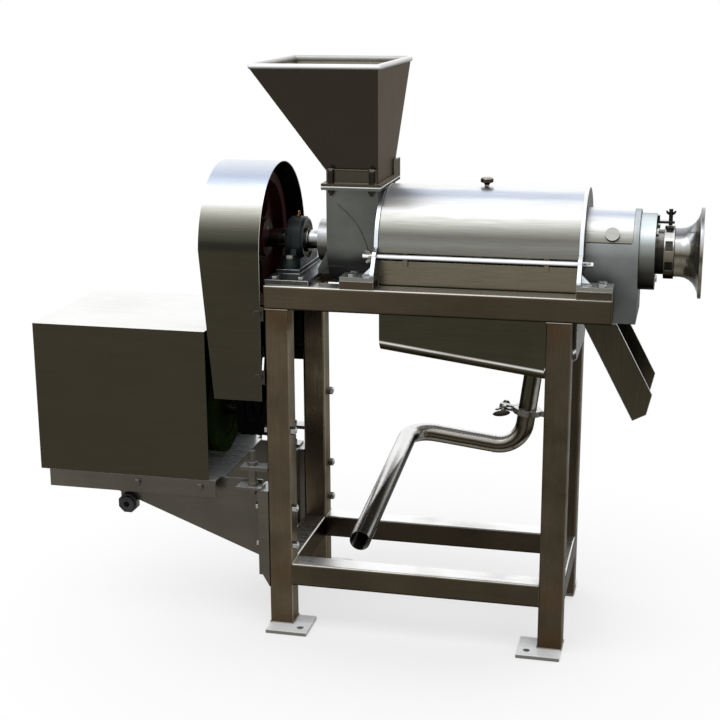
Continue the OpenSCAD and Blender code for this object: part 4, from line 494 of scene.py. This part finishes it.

# Painted light and shade in the finishes: fade lightens the legs and front beam towards -X, darkens the rails towards
# the back with their tops kept lit, darkens the guard's rounds low down and the chute higher up, and on the feed box
# and outlet housing darkens the lower part and lightens the upper; inner paints shade on the walls inside the guard
# and the motor cover and paints light on those inside the hopper and its rim; above gives the end plates' ring and the
# trough's band painted tones of their own; wedge is the pipe's painted reflection band and raised paints highlights on
# the nut's pads.
FINISHES: Dict[str, object] = dict(
    tube=Metal("satin tube", TUBE, (112, 105, 92), rough=0.32, grain=Grain.ALONG_Z, lines=0.4,
        fade=("X", -0.26, 0.26, 1.3, 0.92), cloud=0.34, patch=11.0, spots=WELD_SPOTS, tint=(0.075, 0.042, 0.02)),
    beam=Metal("satin beam", TUBE, (112, 105, 92), fade=("X", -0.28, 0.1, 1.35, 0.86), cloud=0.2, grain=Grain.ALONG_X),
    rail=Metal("satin rail", TUBE, (100, 93, 80), fade=("Y", -0.14, 0.15, 0.84, 0.5), lit_top=True, cloud=0.26,
        grain=Grain.ALONG_X),
    guard_edge=Metal("guard edge", EDGE, fade=("Z", 0.70, 0.78, 0.12, 1.0), rough=0.24, lines=0.1, cloud=0.2),
    edge=Metal("painted edge highlight", EDGE, rough=0.24, lines=0.1, cloud=0.3),
    end_plate=Metal("end plate", FOOT, (170, 173, 174), (0.838, (96, 86, 72)), above=(0.777, RING), lines=0.1,
        cloud=0.16),
    seat=Metal("bearing seat", SEAT, (126, 130, 130), grain=Grain.ALONG_Y, cloud=0.4),
    rod=Metal("bright rod", ROD, (180, 182, 184), metallic=0.6, rough=0.2, swing=0.04, lines=0.1, cloud=0.06),
    pipe=Metal("polished pipe", PIPE, metallic=0.8, rim=0.15, rough=0.2, swing=0.05, lines=0.08, cloud=0.08,
        wedge=(-0.48, -0.18, -0.3, 0.75, PIPE_LEG)),
    wing=Metal("wing nut steel", WING, (104, 102, 96), metallic=0.7, rough=0.24, lines=0.1),
    knob=Metal("knob steel", KNOB, rough=0.14, swing=0.04, lines=0.1, cloud=0.1),
    lock=Metal("lock steel", DARK, (90, 86, 78), rough=0.24, lines=0.2, cloud=0.2),
    plate=Metal("pale plate", PLATE, (198, 201, 203), (0.838, (96, 86, 72)), rough=0.34, grain=Grain.ALONG_Y,
        lines=0.4, cloud=0.25),
    foot=Metal("foot plate", PLATE, (176, 172, 165), metallic=0.15, cloud=0.12, grain=Grain.ALONG_X),
    cover=Metal("brushed cover sheet", COVER, rough=0.34, swing=0.06, lines=0.35, wave=0.05, cloud=0.05,
        grain=Grain.ALONG_X),
    rim=Metal("rim rod", RIM, inner=((-0.204, 0.0, 1.19), (204, 203, 200)), metallic=0.45, rough=0.24, swing=0.05,
        lines=0.1, cloud=0.08),
    stud=Metal("dull stud", stops((16, 15, 13), (170, 168, 160), (0, 44, 41, 34), (0.6, 70, 66, 58)), (58, 54, 46),
        rough=0.42, lines=0.2),
    hopper=Metal("brushed hopper sheet", HOPPER, (124, 115, 104), inner=((-0.17, 0.0, 1.12), (138, 132, 117)),
        rough=0.34, grain=Grain.ALONG_Z, lines=0.15, cloud=0.06),
    guard=Metal("guard sheet", GUARD, (62, 57, 46), inner=((-0.3835, 0.0, 0.72), (15, 13, 11)), swing=0.06, lines=0.16,
        wave=0.04, cloud=0.06, grain=Grain.ALONG_X),
    box=Metal("motor cover sheet", SHEET, (64, 59, 48), inner=((-0.63, 0.0, 0.45), (22, 20, 16)), rough=0.36,
        lines=0.12, cloud=0.06, grain=Grain.ALONG_X),
    tray=Metal("tray plate", WEB, (120, 118, 112), metallic=0.7, lines=0.12, cloud=0.25, grain=Grain.ALONG_X),
    matt=Blasted("matt grey sheet", stops((40, 41, 40), (206, 210, 214), (-0.5, 50, 52, 51), (0, 88, 90, 86),
        (0.5, 150, 154, 154)), fade=(0.72, 0.80, 0.9, 1.08)),
    blasted=Blasted("blasted stainless", BLASTED, rough=0.44, fade=(0.70, 0.83, 0.5, 1.15)),
    ring=Blasted("blasted end ring", RING_END, rough=0.4, turned_from=(0.4612, DARK)),
    faint_seam=Metal("faint seam", stops((40, 40, 36), (120, 120, 114), (0, 72, 74, 70)), rough=0.5, lines=0.1),
    seam=Metal("dark seam", stops((20, 19, 16), (86, 84, 78), (0, 40, 38, 32)), rough=0.5, lines=0.1),
    chute=Metal("chute sheet", SHEET, (58, 54, 44), fade=("Z", 0.5, 0.68, 0.95, 0.7), grain=Grain.ALONG_Z),
    trough=Metal("trough sheet", TROUGH, (70, 66, 56), above=(0.752, BAND), rough=0.26, wave=0.02, cloud=0.12,
        grain=Grain.ALONG_X),
    turned=Metal("turned stainless", TURNED, (110, 107, 100), metallic=0.8, rough=0.18, swing=0.05,
        grain=Grain.ROUND_X, lines=0.5),
    slotted=Metal("slotted nut steel", DARK, (70, 67, 60), raised=((0.0, 0.0, 0.818), 0.0527, PAD), rough=0.2,
        swing=0.05, grain=Grain.ROUND_X, lines=0.4),
    ground=Metal("ground steel", PLATE, rough=0.18, swing=0.05, grain=Grain.ROUND_X),
    fastener=Metal("plain fastener", stops((50, 48, 42), (236, 238, 240), (0, 140, 139, 133)), (206, 208, 208),
        rough=0.22, lines=0.2),
    weld=Metal("weld bead", stops((36, 32, 26), (176, 170, 160), (0, 84, 77, 65)), rough=0.26, lines=0.2, cloud=0.35),
    brass=Metal("brass", stops((70, 50, 24), (236, 206, 140), (0, 176, 138, 70)), rough=0.26, lines=0.2),
    bronze=Metal("bearing bronze", stops((70, 48, 26), (206, 160, 104), (0, 146, 106, 62)), rough=0.34,
        grain=Grain.ROUND_X),
    cast=Paint("dark cast iron", (22, 30, 31), (46, 56, 58), rough=0.3, pebble=220.0, relief=0.4, shine=0.3),
    dark_cast=Paint("black cast iron", (12, 11, 10), (20, 18, 16), rough=0.6, relief=0.4, shine=0.0),
    primer=Paint("dark red primer", (50, 17, 13), (26, 15, 12), rough=0.6, pebble=300.0, relief=0.3, shine=0.08),
    motor=Paint("dark green enamel", (24, 33, 14), (34, 45, 22), rough=0.6, pebble=320.0, relief=0.2, shine=0.0),
    belt=Rubber("belt rubber", (0.003, 0.003, 0.003), (0.006, 0.006, 0.006), rough=0.7, shine=0.0),
    seal=Rubber("seal rubber", (0.03, 0.03, 0.03), (0.07, 0.07, 0.07), rough=0.55),
    white_seal=Rubber("white gasket", (0.80, 0.80, 0.77), (0.66, 0.65, 0.60), rough=0.5),
    plastic=Rubber("black plastic", (0.010, 0.010, 0.011), (0.024, 0.024, 0.024), rough=0.36, grain=900.0),
)

NODES_IN: Dict[str, str] = dict(
    tube="legs beam_caps", beam="top_beams cross_rail foot_spacers", rail="lower_rails", foot="foot_plates",
    seat="bearing_seat", cast="bearing_housing", brass="grease_nipple",
    ground="bearing_outer_ring bearing_inner_ring main_shaft pulley_key motor_shaft",
    fastener="bearing_bolts pulley_retainer foot_bolts wing_nut_left wing_nut_right end_ring_bolts bracket_bolts",
    plate="screw_core screw_flight seal_housing strainer_screen strainer_cage pressure_cone", primer="large_pulley",
    matt="feed_housing", seal="shaft_seal", white_seal="hopper_gasket clamp_seal", hopper="hopper", rim="hopper_rim",
    stud="hopper_studs", end_plate="end_plates", cover="top_cover waste_cover", knob="cover_knob", rod="cover_rods",
    blasted="waste_housing", ring="end_ring", bronze="cone_bush", slotted="ring_nut", turned="pressure_wheel",
    lock="lock_arm lock_screw", chute="waste_chute", trough="juice_trough", wing="pipe_clamp clamp_wing_nut",
    pipe="drain_pipe", guard="belt_guard", belt="v_belts", dark_cast="motor_pulley", motor="motor_frame",
    box="motor_cover", tray="motor_bracket", plastic="cable_gland",
)
NODE_FINISH = {node: finish for finish, nodes in NODES_IN.items() for node in nodes.split()}


class Dresser:
    """Builds each finish once and puts it on CAD nodes and new pieces."""

    def __init__(self) -> None:
        """Starts with no material built."""
        self.built: Dict[str, bpy.types.Material] = {}

    def finish(self, name: str) -> bpy.types.Material:
        """Returns the material of a finish, built on first use."""
        if name not in self.built:
            self.built[name] = FINISHES[name].build()
        return self.built[name]

    def wear(self, obj: bpy.types.Object, name: str) -> None:
        """Gives an object one finish."""
        obj.data.materials.clear()
        obj.data.materials.append(self.finish(name))

    def dress_nodes(self) -> None:
        """Gives every CAD node its finish."""
        for name, obj in frame["nodes"].items():
            self.wear(obj, NODE_FINISH[name])
        LOG.info("dressed %d CAD nodes", len(frame["nodes"]))


DRESSER = Dresser()


# ---- meshes


def placed(name: str, data: bpy.types.ID) -> bpy.types.Object:
    """Returns a new object in the scene that shows a mesh, a lamp or a camera."""
    obj = bpy.data.objects.new(name, data)
    bpy.context.scene.collection.objects.link(obj)
    return obj


def mesh_object(name: str, points: np.ndarray, faces: Sequence[Sequence[int]], finish: str, body: str,
                smooth: bool = True) -> bpy.types.Object:
    """Makes a piece from points and faces, gives it a finish and lets it ride on a body.

    Args:
        name: the piece's name.
        points: an (n, 3) array in metres.
        faces: index lists.
        finish: key in FINISHES.
        body: the CAD body that carries it.
        smooth: shade smooth.

    Returns:
        The new object.
    """
    mesh = bpy.data.meshes.new(name)
    mesh.from_pydata([tuple(p) for p in points], [], [tuple(f) for f in faces])
    mesh.update()
    if smooth:
        mesh.polygons.foreach_set("use_smooth", np.ones(len(mesh.polygons), bool))
    obj = placed(name, mesh)
    DRESSER.wear(obj, finish)
    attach(obj, body)
    LOG.info("piece %s: %d faces on %s", name, len(faces), body)
    return obj


def rectangle(a0: float, a1: float, b0: float, b1: float) -> List[Tuple[float, float]]:
    """The corners of a rectangle, counter-clockwise."""
    return [(a0, b0), (a1, b0), (a1, b1), (a0, b1)]


def body_of(node: str) -> str:
    """Returns the name of the body that a CAD node belongs to."""
    bodies = frame["record"]["behaviour"]["bodies"]
    return next(name for name, nodes in bodies.items() if node in nodes)


@dataclass(frozen=True)
class Ease:
    """How a node's edges are eased.

    Fields: width is the round's width in millimetres, least the smallest angle between faces that is eased,
    in degrees, edge the finish of the rounds where it isn't the piece's own, which paints highlights on them, and
    steps the strips across one; slim is for a piece drawn narrower along X: the place that stays, and the factor.
    """

    width: float
    least: float = 32.0
    edge: Optional[str] = None
    steps: int = 2
    slim: Optional[Tuple[float, float]] = None


JOIN_WITHIN = 2e-6
FLAT_WITHIN = math.radians(0.4)


def rounded_copy(node: str, ease: Ease) -> bpy.types.Object:
    """Puts a copy of a CAD node with eased edges in its place.

    A slim one is first narrowed: x = centre + (x - centre) * factor. The copy's loose triangles are joined and
    its flat parts made one face each; the rounds are then weighted so that the flats stay flat.

    Args:
        node: the CAD node's name.
        ease: the rounds.

    Returns:
        The copy.
    """
    mesh = frame["nodes"][node].data.copy()
    if ease.slim:
        centre, factor = ease.slim
        flat = np.empty(3 * len(mesh.vertices))
        mesh.vertices.foreach_get("co", flat)
        flat[::3] = centre + (flat[::3] - centre) * factor
        mesh.vertices.foreach_set("co", flat)
    grid = bmesh.new()
    grid.from_mesh(mesh)
    bmesh.ops.remove_doubles(grid, verts=grid.verts, dist=JOIN_WITHIN)
    bmesh.ops.dissolve_limit(grid, angle_limit=FLAT_WITHIN, verts=grid.verts, edges=grid.edges)
    grid.to_mesh(mesh)
    grid.free()
    mesh.name = node + "_eased"
    obj = placed(mesh.name, mesh)
    mesh.polygons.foreach_set("use_smooth", np.ones(len(mesh.polygons), bool))
    bevel = obj.modifiers.new("eased edges", "BEVEL")
    bevel.width, bevel.segments, bevel.limit_method = ease.width * MM, ease.steps, "ANGLE"
    bevel.angle_limit = math.radians(ease.least)
    bevel.use_clamp_overlap = True
    bevel.miter_outer = "MITER_ARC"
    even = obj.modifiers.new("even shading", "WEIGHTED_NORMAL")
    even.mode, even.weight, even.keep_sharp = "FACE_AREA", 50, False
    DRESSER.wear(obj, NODE_FINISH[node])
    # painted highlights on the rounds from the edge finish
    if ease.edge:
        mesh.materials.append(DRESSER.finish(ease.edge))
        bevel.material = 1
    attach(obj, body_of(node))
    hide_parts(node)
    LOG.info("eased %s: %d faces", node, len(mesh.polygons))
    return obj


EASED: Dict[str, Ease] = dict(
    hopper=Ease(0.8, 30.0), feed_housing=Ease(1.2), end_plates=Ease(1.2, edge="edge"),
    foot_spacers=Ease(0.9, 30.0, "edge"), bearing_seat=Ease(1.2, edge="edge"),
    bearing_housing=Ease(2.2, slim=(-0.2825, 0.8)), foot_plates=Ease(1.0, edge="edge"), waste_housing=Ease(1.2),
    end_ring=Ease(1.5), ring_nut=Ease(1.2, 30.0), waste_chute=Ease(0.8, 30.0, "edge"), lock_arm=Ease(0.8, 30.0),
    lock_screw=Ease(0.5, 30.0), motor_cover=Ease(0.8, 30.0), belt_guard=Ease(0.7, edge="guard_edge"),
    motor_bracket=Ease(0.9), foot_bolts=Ease(0.8), bearing_bolts=Ease(0.9), bracket_bolts=Ease(0.8),
    end_ring_bolts=Ease(0.6), wing_nut_left=Ease(0.9), wing_nut_right=Ease(0.9), clamp_wing_nut=Ease(0.9),
    pipe_clamp=Ease(1.2), cable_gland=Ease(1.5), beam_caps=Ease(1.0, 40.0), juice_trough=Ease(2.0, 24.0),
    waste_cover=Ease(0.8), top_cover=Ease(0.7), cover_rods=Ease(0.6), pressure_wheel=Ease(1.2),
)


def grid_faces(rows: int, cols: int, wrap_rows: bool = False, wrap_cols: bool = False) -> np.ndarray:
    """Quads of a grid of points stored row by row.

    Args:
        rows: points along the first parameter.
        cols: points along the second parameter.
        wrap_rows: join the last row to the first.
        wrap_cols: join the last column to the first.

    Returns:
        An (n, 4) array of indices.
    """
    i = np.arange(rows if wrap_rows else rows - 1)
    j = np.arange(cols if wrap_cols else cols - 1)
    a, b = np.meshgrid(i, j, indexing="ij")
    c, d = (a + 1) % rows, (b + 1) % cols
    return np.stack([a * cols + b, a * cols + d, c * cols + d, c * cols + b], -1).reshape(-1, 4)


def frames_along(path: np.ndarray, closed: bool) -> Tuple[np.ndarray, np.ndarray]:
    """Two unit normals at each point of a path: each is the last one less its part along the new tangent."""
    ahead = np.roll(path, -1, 0) - np.roll(path, 1, 0)
    if not closed:
        ahead[0], ahead[-1] = path[1] - path[0], path[-1] - path[-2]
    tangent = ahead / np.linalg.norm(ahead, axis=1)[:, None]
    seed = np.array([0.0, 0.0, 1.0]) if abs(tangent[0][2]) < 0.9 else np.array([1.0, 0.0, 0.0])
    first = np.zeros_like(path)
    for k, t in enumerate(tangent):
        seed = seed - t * seed.dot(t)
        seed = seed / np.linalg.norm(seed)
        first[k] = seed
    return first, np.cross(tangent, first)


@dataclass
class WeldBeads:
    """Rippled weld beads laid along the joints of one body.

    Each bead is a round section carried along its path. Its radius is the bead's own radius times one plus a
    sine of the length along the path, which gives the overlapping scales of a weld. An open bead starts at a
    tip of its radius and reaches all of it over a taper of a few points.
    """

    name: str
    finish: str
    body: str = "stand"
    radius: float = 2.6
    ripple: float = 4.0
    depth: float = 0.16
    sides: int = 8
    pitch: float = 1.5
    tip: float = 0.05
    taper: float = 3.0
    paths: List[Tuple[np.ndarray, bool]] = field(default_factory=list)

    def add(self, points: Sequence[Point], closed: bool = False) -> None:
        """Adds a bead through points in millimetres, filled in at each pitch along the straights."""
        pts = [np.array(p, float) for p in points] + ([np.array(points[0], float)] if closed else [])
        filled = [pts[0][None]]
        for a, b in zip(pts[:-1], pts[1:]):
            n = max(int(np.linalg.norm(b - a) / self.pitch), 2)
            filled.append(a + (b - a) * np.linspace(0, 1, n + 1)[1:, None])
        path = np.concatenate(filled)
        self.paths.append((path[:-1] if closed else path, closed))

    def build(self) -> bpy.types.Object:
        """Returns all the beads as one piece."""
        all_points, all_faces, base = [], [], 0
        angle = np.linspace(0, 2 * math.pi, self.sides, endpoint=False)
        for path, closed in self.paths:
            first, second = frames_along(path, closed)
            step = np.linalg.norm(np.diff(path, axis=0, prepend=path[:1]), axis=1)
            wave = 1 + self.depth * np.sin(np.cumsum(step) * 2 * math.pi / self.ripple)
            if not closed:
                ends = np.minimum(np.arange(len(path)), np.arange(len(path))[::-1])
                wave = wave * np.clip(self.tip + ends / self.taper, 0, 1)
            ring = (first[:, None] * np.cos(angle)[None, :, None] + second[:, None] * np.sin(angle)[None, :, None])
            points = path[:, None] + ring * (self.radius * wave)[:, None, None]
            all_points.append(points.reshape(-1, 3))
            all_faces.append(grid_faces(len(path), self.sides, closed, True)[:, ::-1] + base)
            base += len(path) * self.sides
        return mesh_object(self.name, np.concatenate(all_points) * MM, np.concatenate(all_faces).tolist(),
                           self.finish, self.body)


# ---- sub-assemblies


@dataclass
class Stand:
    """Welds of the tube stand."""

    leg_x: float = 312.5
    leg_y: float = 169.0
    tube: float = 50.0
    rail_top: float = 147.0
    beam_low: float = 700.0
    plate: float = 8.0
    inset: float = 2.0

    def build(self) -> None:
        """Lays the beads round each leg's foot, under the beams and at the rails."""
        beads = WeldBeads("stand_welds", "weld", radius=1.8)
        t = self.tube
        for i in (-1, 1):
            for j in (-1, 1):
                xs = sorted((i * self.leg_x, i * (self.leg_x - t)))
                ys = sorted((j * self.leg_y, j * (self.leg_y - t)))
                for level in (self.plate, self.beam_low):
                    beads.add([(x, y, level) for x, y in rectangle(*xs, *ys)], closed=True)
                inner = i * (self.leg_x - t)
                end = rectangle(ys[0] + self.inset, ys[1] - self.inset, self.rail_top - t + self.inset,
                                self.rail_top - self.inset / 2)
                beads.add([(inner, y, z) for y, z in end], closed=True)
        beads.build()


def swept_x(section: Sequence[Tuple[float, float]], x0: float, x1: float, count: int = 24) -> Tuple[np.ndarray, List]:
    """A strip with the same (y, z) section all along X, closed by a face at each end.

    Args:
        section: points in millimetres, counter-clockwise as seen from the far end of X.
        x0: the start in millimetres.
        x1: the end in millimetres.
        count: cross-sections along the strip.

    Returns:
        The points in metres and the faces.
    """
    yz = np.array(section, float)
    x = np.broadcast_to(np.linspace(x0, x1, count)[:, None], (count, len(yz)))
    points = np.stack([x, np.broadcast_to(yz[:, 0], x.shape), np.broadcast_to(yz[:, 1], x.shape)], -1)
    around = list(range(len(yz)))
    ends = [around[::-1], [(count - 1) * len(yz) + k for k in around]]
    return points.reshape(-1, 3) * MM, grid_faces(count, len(yz), False, True)[:, ::-1].tolist() + ends


@dataclass
class HopperNeck:
    """The hemmed band in front of and behind the hopper's neck, and the welds of the neck and the feed box."""

    x0: float = -199.0
    x1: float = -93.0
    depth: float = 85.0
    low: float = 950.2
    high: float = 977.0
    sheet: float = 1.9
    sunk: float = 0.4
    hem: float = 1.5
    proud: float = 0.3
    foot: float = 2.0
    seam_x: Point = (-178.0, 72.0, -6.0)
    seam_z: Point = (909.0, -62.0, -36.0)

    def band(self, side: int) -> None:
        """Makes one band: a sheet whose top edge is rolled outwards in a half round."""
        turn = np.linspace(-math.pi / 2, math.pi / 2, 7)
        back, face = self.depth - self.sunk, self.depth + self.sheet
        roll = [(face + self.hem * math.cos(a), self.high + self.hem * math.sin(a)) for a in turn]
        section = [(back, self.low), (face, self.low)] + roll + [(back, self.high + self.hem)]
        section = [(side * y, z) for y, z in section][::side]
        points, faces = swept_x(section, self.x0, self.x1)
        mesh_object("neck_band_front" if side < 0 else "neck_band_back", points, faces, "hopper", "stand", False)

    def build(self) -> None:
        """Makes both bands, the beads along the neck's foot and the seam on the feed box.

        The seam bends: x = a + b t + c t^3 and z = a + b t + c t^4, with t from 0 to 1.
        """
        for side in (-1, 1):
            self.band(side)
        d = self.depth + self.proud
        foot = WeldBeads("neck_weld", "hopper", radius=1.5)
        for side in (-1, 1):
            foot.add([(x, side * (d + self.foot), self.low) for x in (self.x0, self.x1)])
        foot.build()
        seam = WeldBeads("feed_box_seam", "faint_seam", radius=0.8, depth=0.3)
        t = np.linspace(0, 1, 30)
        x, z = (a + b * t + c * t ** power for (a, b, c), power in ((self.seam_x, 3), (self.seam_z, 4)))
        seam.add([tuple(point) for point in np.stack([x, np.full(30, -d), z], -1)])
        seam.build()


@dataclass
class DischargeSeam:
    """The sealed joint between the bright upper cover and the blasted housing at the outlet end."""

    x0: float = 327.0
    x1: float = 418.0
    level: float = 846.0
    radius: float = 0.9
    side: float = 80.5

    def build(self) -> None:
        """Lays a thin dark bead along the joint on both sides, just proud of the cylinder."""
        beads = WeldBeads("outlet_cover_seam", "seam", radius=self.radius, depth=0.05)
        for y in (-self.side, self.side):
            beads.add([(self.x0, y, self.level), (self.x1, y, self.level)])
        beads.build()


def lathe(profile: Sequence[Tuple[float, float]], centre: Point, sides: int = 48) -> Tuple[np.ndarray, List[list]]:
    """A turned shape about a line along Z: x = r cos a, y = r sin a, with r and z read off the profile.

    Args:
        profile: radius and height in millimetres from the bottom pole to the top one; both ends have radius 0.
        centre: the axis's place, and the height that the profile's heights are counted from.
        sides: points round the axis.

    Returns:
        The points in metres and the faces, with a fan at each pole.
    """
    rings = np.array(profile[1:-1], float)
    angle = np.linspace(0, 2 * math.pi, sides, endpoint=False)
    x = rings[:, :1] * np.cos(angle) + centre[0]
    y = rings[:, :1] * np.sin(angle) + centre[1]
    z = np.broadcast_to(rings[:, 1:] + centre[2], x.shape)
    poles = np.array([[centre[0], centre[1], centre[2] + profile[k][1]] for k in (0, -1)])
    points = np.concatenate([np.stack([x, y, z], -1).reshape(-1, 3), poles]) * MM
    count, around = len(rings), np.arange(sides)
    after = (around + 1) % sides
    low, high = count * sides, count * sides + 1
    fans = np.concatenate([np.stack([after, around, np.full(sides, low)], -1),
                           np.stack([(count - 1) * sides + around, (count - 1) * sides + after,
                                     np.full(sides, high)], -1)])
    return points, grid_faces(count, sides, False, True).tolist() + fans.tolist()


@dataclass
class SmallHeads:
    """The hex nuts on top of the hopper's studs and the domed heads of the tray's side bolts."""

    studs: Tuple[Tuple[float, float], ...] = ((-188.0, -91.8), (-104.0, -91.8), (-188.0, 91.8), (-104.0, 91.8))
    stud_top: float = 981.0
    heads: Tuple[float, ...] = (-605.0, -463.5)
    side: float = 169.0
    level: float = 304.0
    nut: Sequence[Tuple[float, float]] = (
        (0.0, -6.0), (5.2, -6.0), (6.2, -5.4), (6.2, -1.4), (5.2, -0.8), (0.0, -0.6))
    dome: Tuple[float, float] = (6.6, 3.2)
    flat: float = 1.2

    def build(self) -> None:
        """Turns one profile for each kind; a nut's has six sides, a head's is tipped to lie along Y."""
        for k, (x, y) in enumerate(self.studs):
            points, faces = lathe(self.nut, (x, y, self.stud_top), 6)
            mesh_object(f"hopper_stud_nut_{k + 1}", points, faces, "wing", "stand", False)
        r, h = self.dome
        dome = [(r * math.cos(a), self.flat + h * math.sin(a)) for a in np.linspace(0, math.pi / 2, 7)[:-1]]
        profile = [(0.0, -0.4), (r, -0.4)] + dome + [(0.0, self.flat + h)]
        for k, x in enumerate(self.heads):
            for side in (-1, 1):
                points, faces = lathe(profile, (0.0, 0.0, 0.0), 24)
                tipped = np.stack([points[:, 0], side * points[:, 2], -side * points[:, 1]], -1)
                tipped = tipped + np.array([x, side * self.side, self.level]) * MM
                mesh_object(f"tray_bolt_head_{k + 1}_{'front' if side < 0 else 'back'}", tipped, faces, "stud",
                            "stand")


@dataclass
class Knob:
    """The cover's turned knob: a stem, a flared cup and a domed cap."""

    place: Point = (117.0, 0.0, 938.0)
    stem: float = 5.0
    cup: float = 13.0

    def build(self) -> None:
        """Turns the profile: the flare is a quarter cosine, the dome a part of a circle."""
        t = np.linspace(0, 1, 9)
        flare = [(self.stem + (self.cup - self.stem) * (1 - math.cos(a * math.pi / 2)), 6 + 5 * a) for a in t]
        dome = [(self.cup * math.cos(a * math.pi / 2) ** 0.6 + 0.001, 17.5 + 3.5 * math.sin(a * math.pi / 2))
                for a in t[:-1]]
        foot = [(0.0, -0.4), (9.0, -0.4), (9.0, 0.8), (8.2, 1.5), (self.stem, 1.7), (self.stem, 5.6)]
        points, faces = lathe(foot + flare + [(self.cup, 11.6), (self.cup, 17.0)] + dome + [(0.0, 21.0)], self.place)
        obj = mesh_object("cover_knob_turned", points, faces, "knob", "cover")
        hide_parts("cover_knob")


@dataclass
class ClampHandle:
    """The long handle of the clamp's nut: a neck forward along the bolt and an oval leaf across its end."""

    place: Point = (163.2, -12.0, 474.6)
    neck: float = 4.0
    reach: float = 40.0
    leaf: Point = (18.5, 4.0, 6.3)
    tilt: float = -10.0

    def build(self) -> None:
        """Turns the neck along Y; the leaf is a ball stretched to its three half sizes and tipped about Y."""
        neck, neck_faces = lathe([(0.0, 0.0), (self.neck, 0.0), (self.neck, self.reach), (0.0, self.reach)],
                                 (0.0, 0.0, 0.0), 24)
        ball, ball_faces = lathe([(math.sin(a), -math.cos(a)) for a in np.linspace(0, math.pi, 15)],
                                 (0.0, 0.0, 0.0), 32)
        neck = np.stack([neck[:, 0], -neck[:, 2], neck[:, 1]], -1)
        x, y, z = (ball * np.array(self.leaf)).T
        c, s = math.cos(math.radians(self.tilt)), math.sin(math.radians(self.tilt))
        leaf = np.stack([x * c + z * s, y - self.reach * MM, z * c - x * s], -1)
        points = np.concatenate([neck, leaf]) + np.array(self.place) * MM
        faces = neck_faces + [[k + len(neck) for k in f] for f in ball_faces]
        mesh_object("clamp_nut_handle", points, faces, "stud", "clamp_nut")


def build_floor() -> None:
    """Makes the pale floor: it keeps the machine's shadow near by and turns to plain white farther out."""
    half, level = 14.0, -0.0003
    mesh = bpy.data.meshes.new("floor")
    mesh.from_pydata([(x, y, level) for x, y in rectangle(-half, half, -half, half)], [], [(0, 1, 2, 3)])
    s = Shader("pale floor")
    s.send("Base Color", (0.93, 0.93, 0.93, 1.0))
    s.send("Roughness", 0.9)
    glow = s.add("Emission", {"Color": (1.0, 1.0, 1.0, 1.0)})
    far = s.vector("LENGTH", {0: s.coords}, "Value")
    plain = s.math("MULTIPLY", s.ramp(far, 0.3, 1.0, 0.6, 1.0), s.seen_rays())
    s.put(s.out.inputs[0], s.add("MixShader", {0: plain, 1: s.bsdf.outputs[0], 2: glow}))
    mesh.materials.append(s.material)
    placed("floor", mesh)


def build_light() -> None:
    """Makes the even pale sky, a little brighter overhead, and the soft panel over the working side."""
    world = bpy.data.worlds.new("sky")
    world.use_nodes = True
    n = Nodes(world.node_tree)
    ramp = n.tree.nodes.new("ShaderNodeValToRGB")
    n.put(ramp.inputs[0], n.add("SeparateXYZ", {0: n.add("TexCoord", {}, "Generated")}, "Z"))
    for mark, grey in zip(ramp.color_ramp.elements, (0.92, 1.0)):
        mark.color = (grey, grey, grey, 1.0)
    sky = n.add("Background", {0: ramp.outputs[0]})
    white = n.add("Background", {0: (1.0, 1.0, 1.0, 1.0)})
    out = n.tree.nodes.new("ShaderNodeOutputWorld")
    n.put(out.inputs[0], n.add("MixShader", {0: n.seen_rays(), 1: sky, 2: white}))
    bpy.context.scene.world = world

    lamp = bpy.data.lights.new("overhead panel", "AREA")
    lamp.shape, lamp.size, lamp.size_y, lamp.energy = "RECTANGLE", 2.4, 2.0, 14.0
    panel = placed("overhead panel", lamp)
    panel.location, target = (-0.9, -1.2, 3.4), Vector((0, 0, 0.6))
    panel.rotation_euler = (target - Vector(panel.location)).to_track_quat("-Z", "Y").to_euler()


@dataclass(frozen=True)
class Viewpoint:
    """The photograph's camera: place in metres, angles in degrees, and focal length in pixels of 720."""

    place: Point = (0.5413, -2.9138, 1.3535)
    yaw: float = 13.37
    pitch: float = -14.87
    roll: float = -0.3
    focal: float = 1441.5

    def build(self) -> None:
        """Makes the camera from its forward, right and up vectors."""
        yaw, pitch, roll = (math.radians(a) for a in (self.yaw, self.pitch, self.roll))
        ahead = Vector((-math.sin(yaw) * math.cos(pitch), math.cos(yaw) * math.cos(pitch), math.sin(pitch)))
        level = Vector((math.cos(yaw), math.sin(yaw), 0.0))
        up = level.cross(ahead)
        right = level * math.cos(roll) + up * math.sin(roll)
        over = up * math.cos(roll) - level * math.sin(roll)
        data = bpy.data.cameras.new("camera")
        data.sensor_width, data.lens = 36.0, 36.0 * self.focal / 720.0
        data.clip_end = 100.0
        camera = placed("camera", data)
        camera.matrix_world = Matrix((
            (right.x, over.x, -ahead.x, self.place[0]), (right.y, over.y, -ahead.y, self.place[1]),
            (right.z, over.z, -ahead.z, self.place[2]), (0, 0, 0, 1)))
        bpy.context.scene.camera = camera


def main() -> None:
    """Builds the stage, dresses the nodes and adds the pieces in order."""
    logging.basicConfig(level=logging.INFO, format="%(name)s: %(message)s")
    bpy.context.scene.view_settings.view_transform = "Standard"
    DRESSER.dress_nodes()
    for node, ease in EASED.items():
        rounded_copy(node, ease)
    for part in (Knob(), SmallHeads(), ClampHandle(), HopperNeck(), DischargeSeam(), Stand()):
        part.build()
    build_floor()
    build_light()
    Viewpoint().build()


if __name__ == "__main__":
    main()
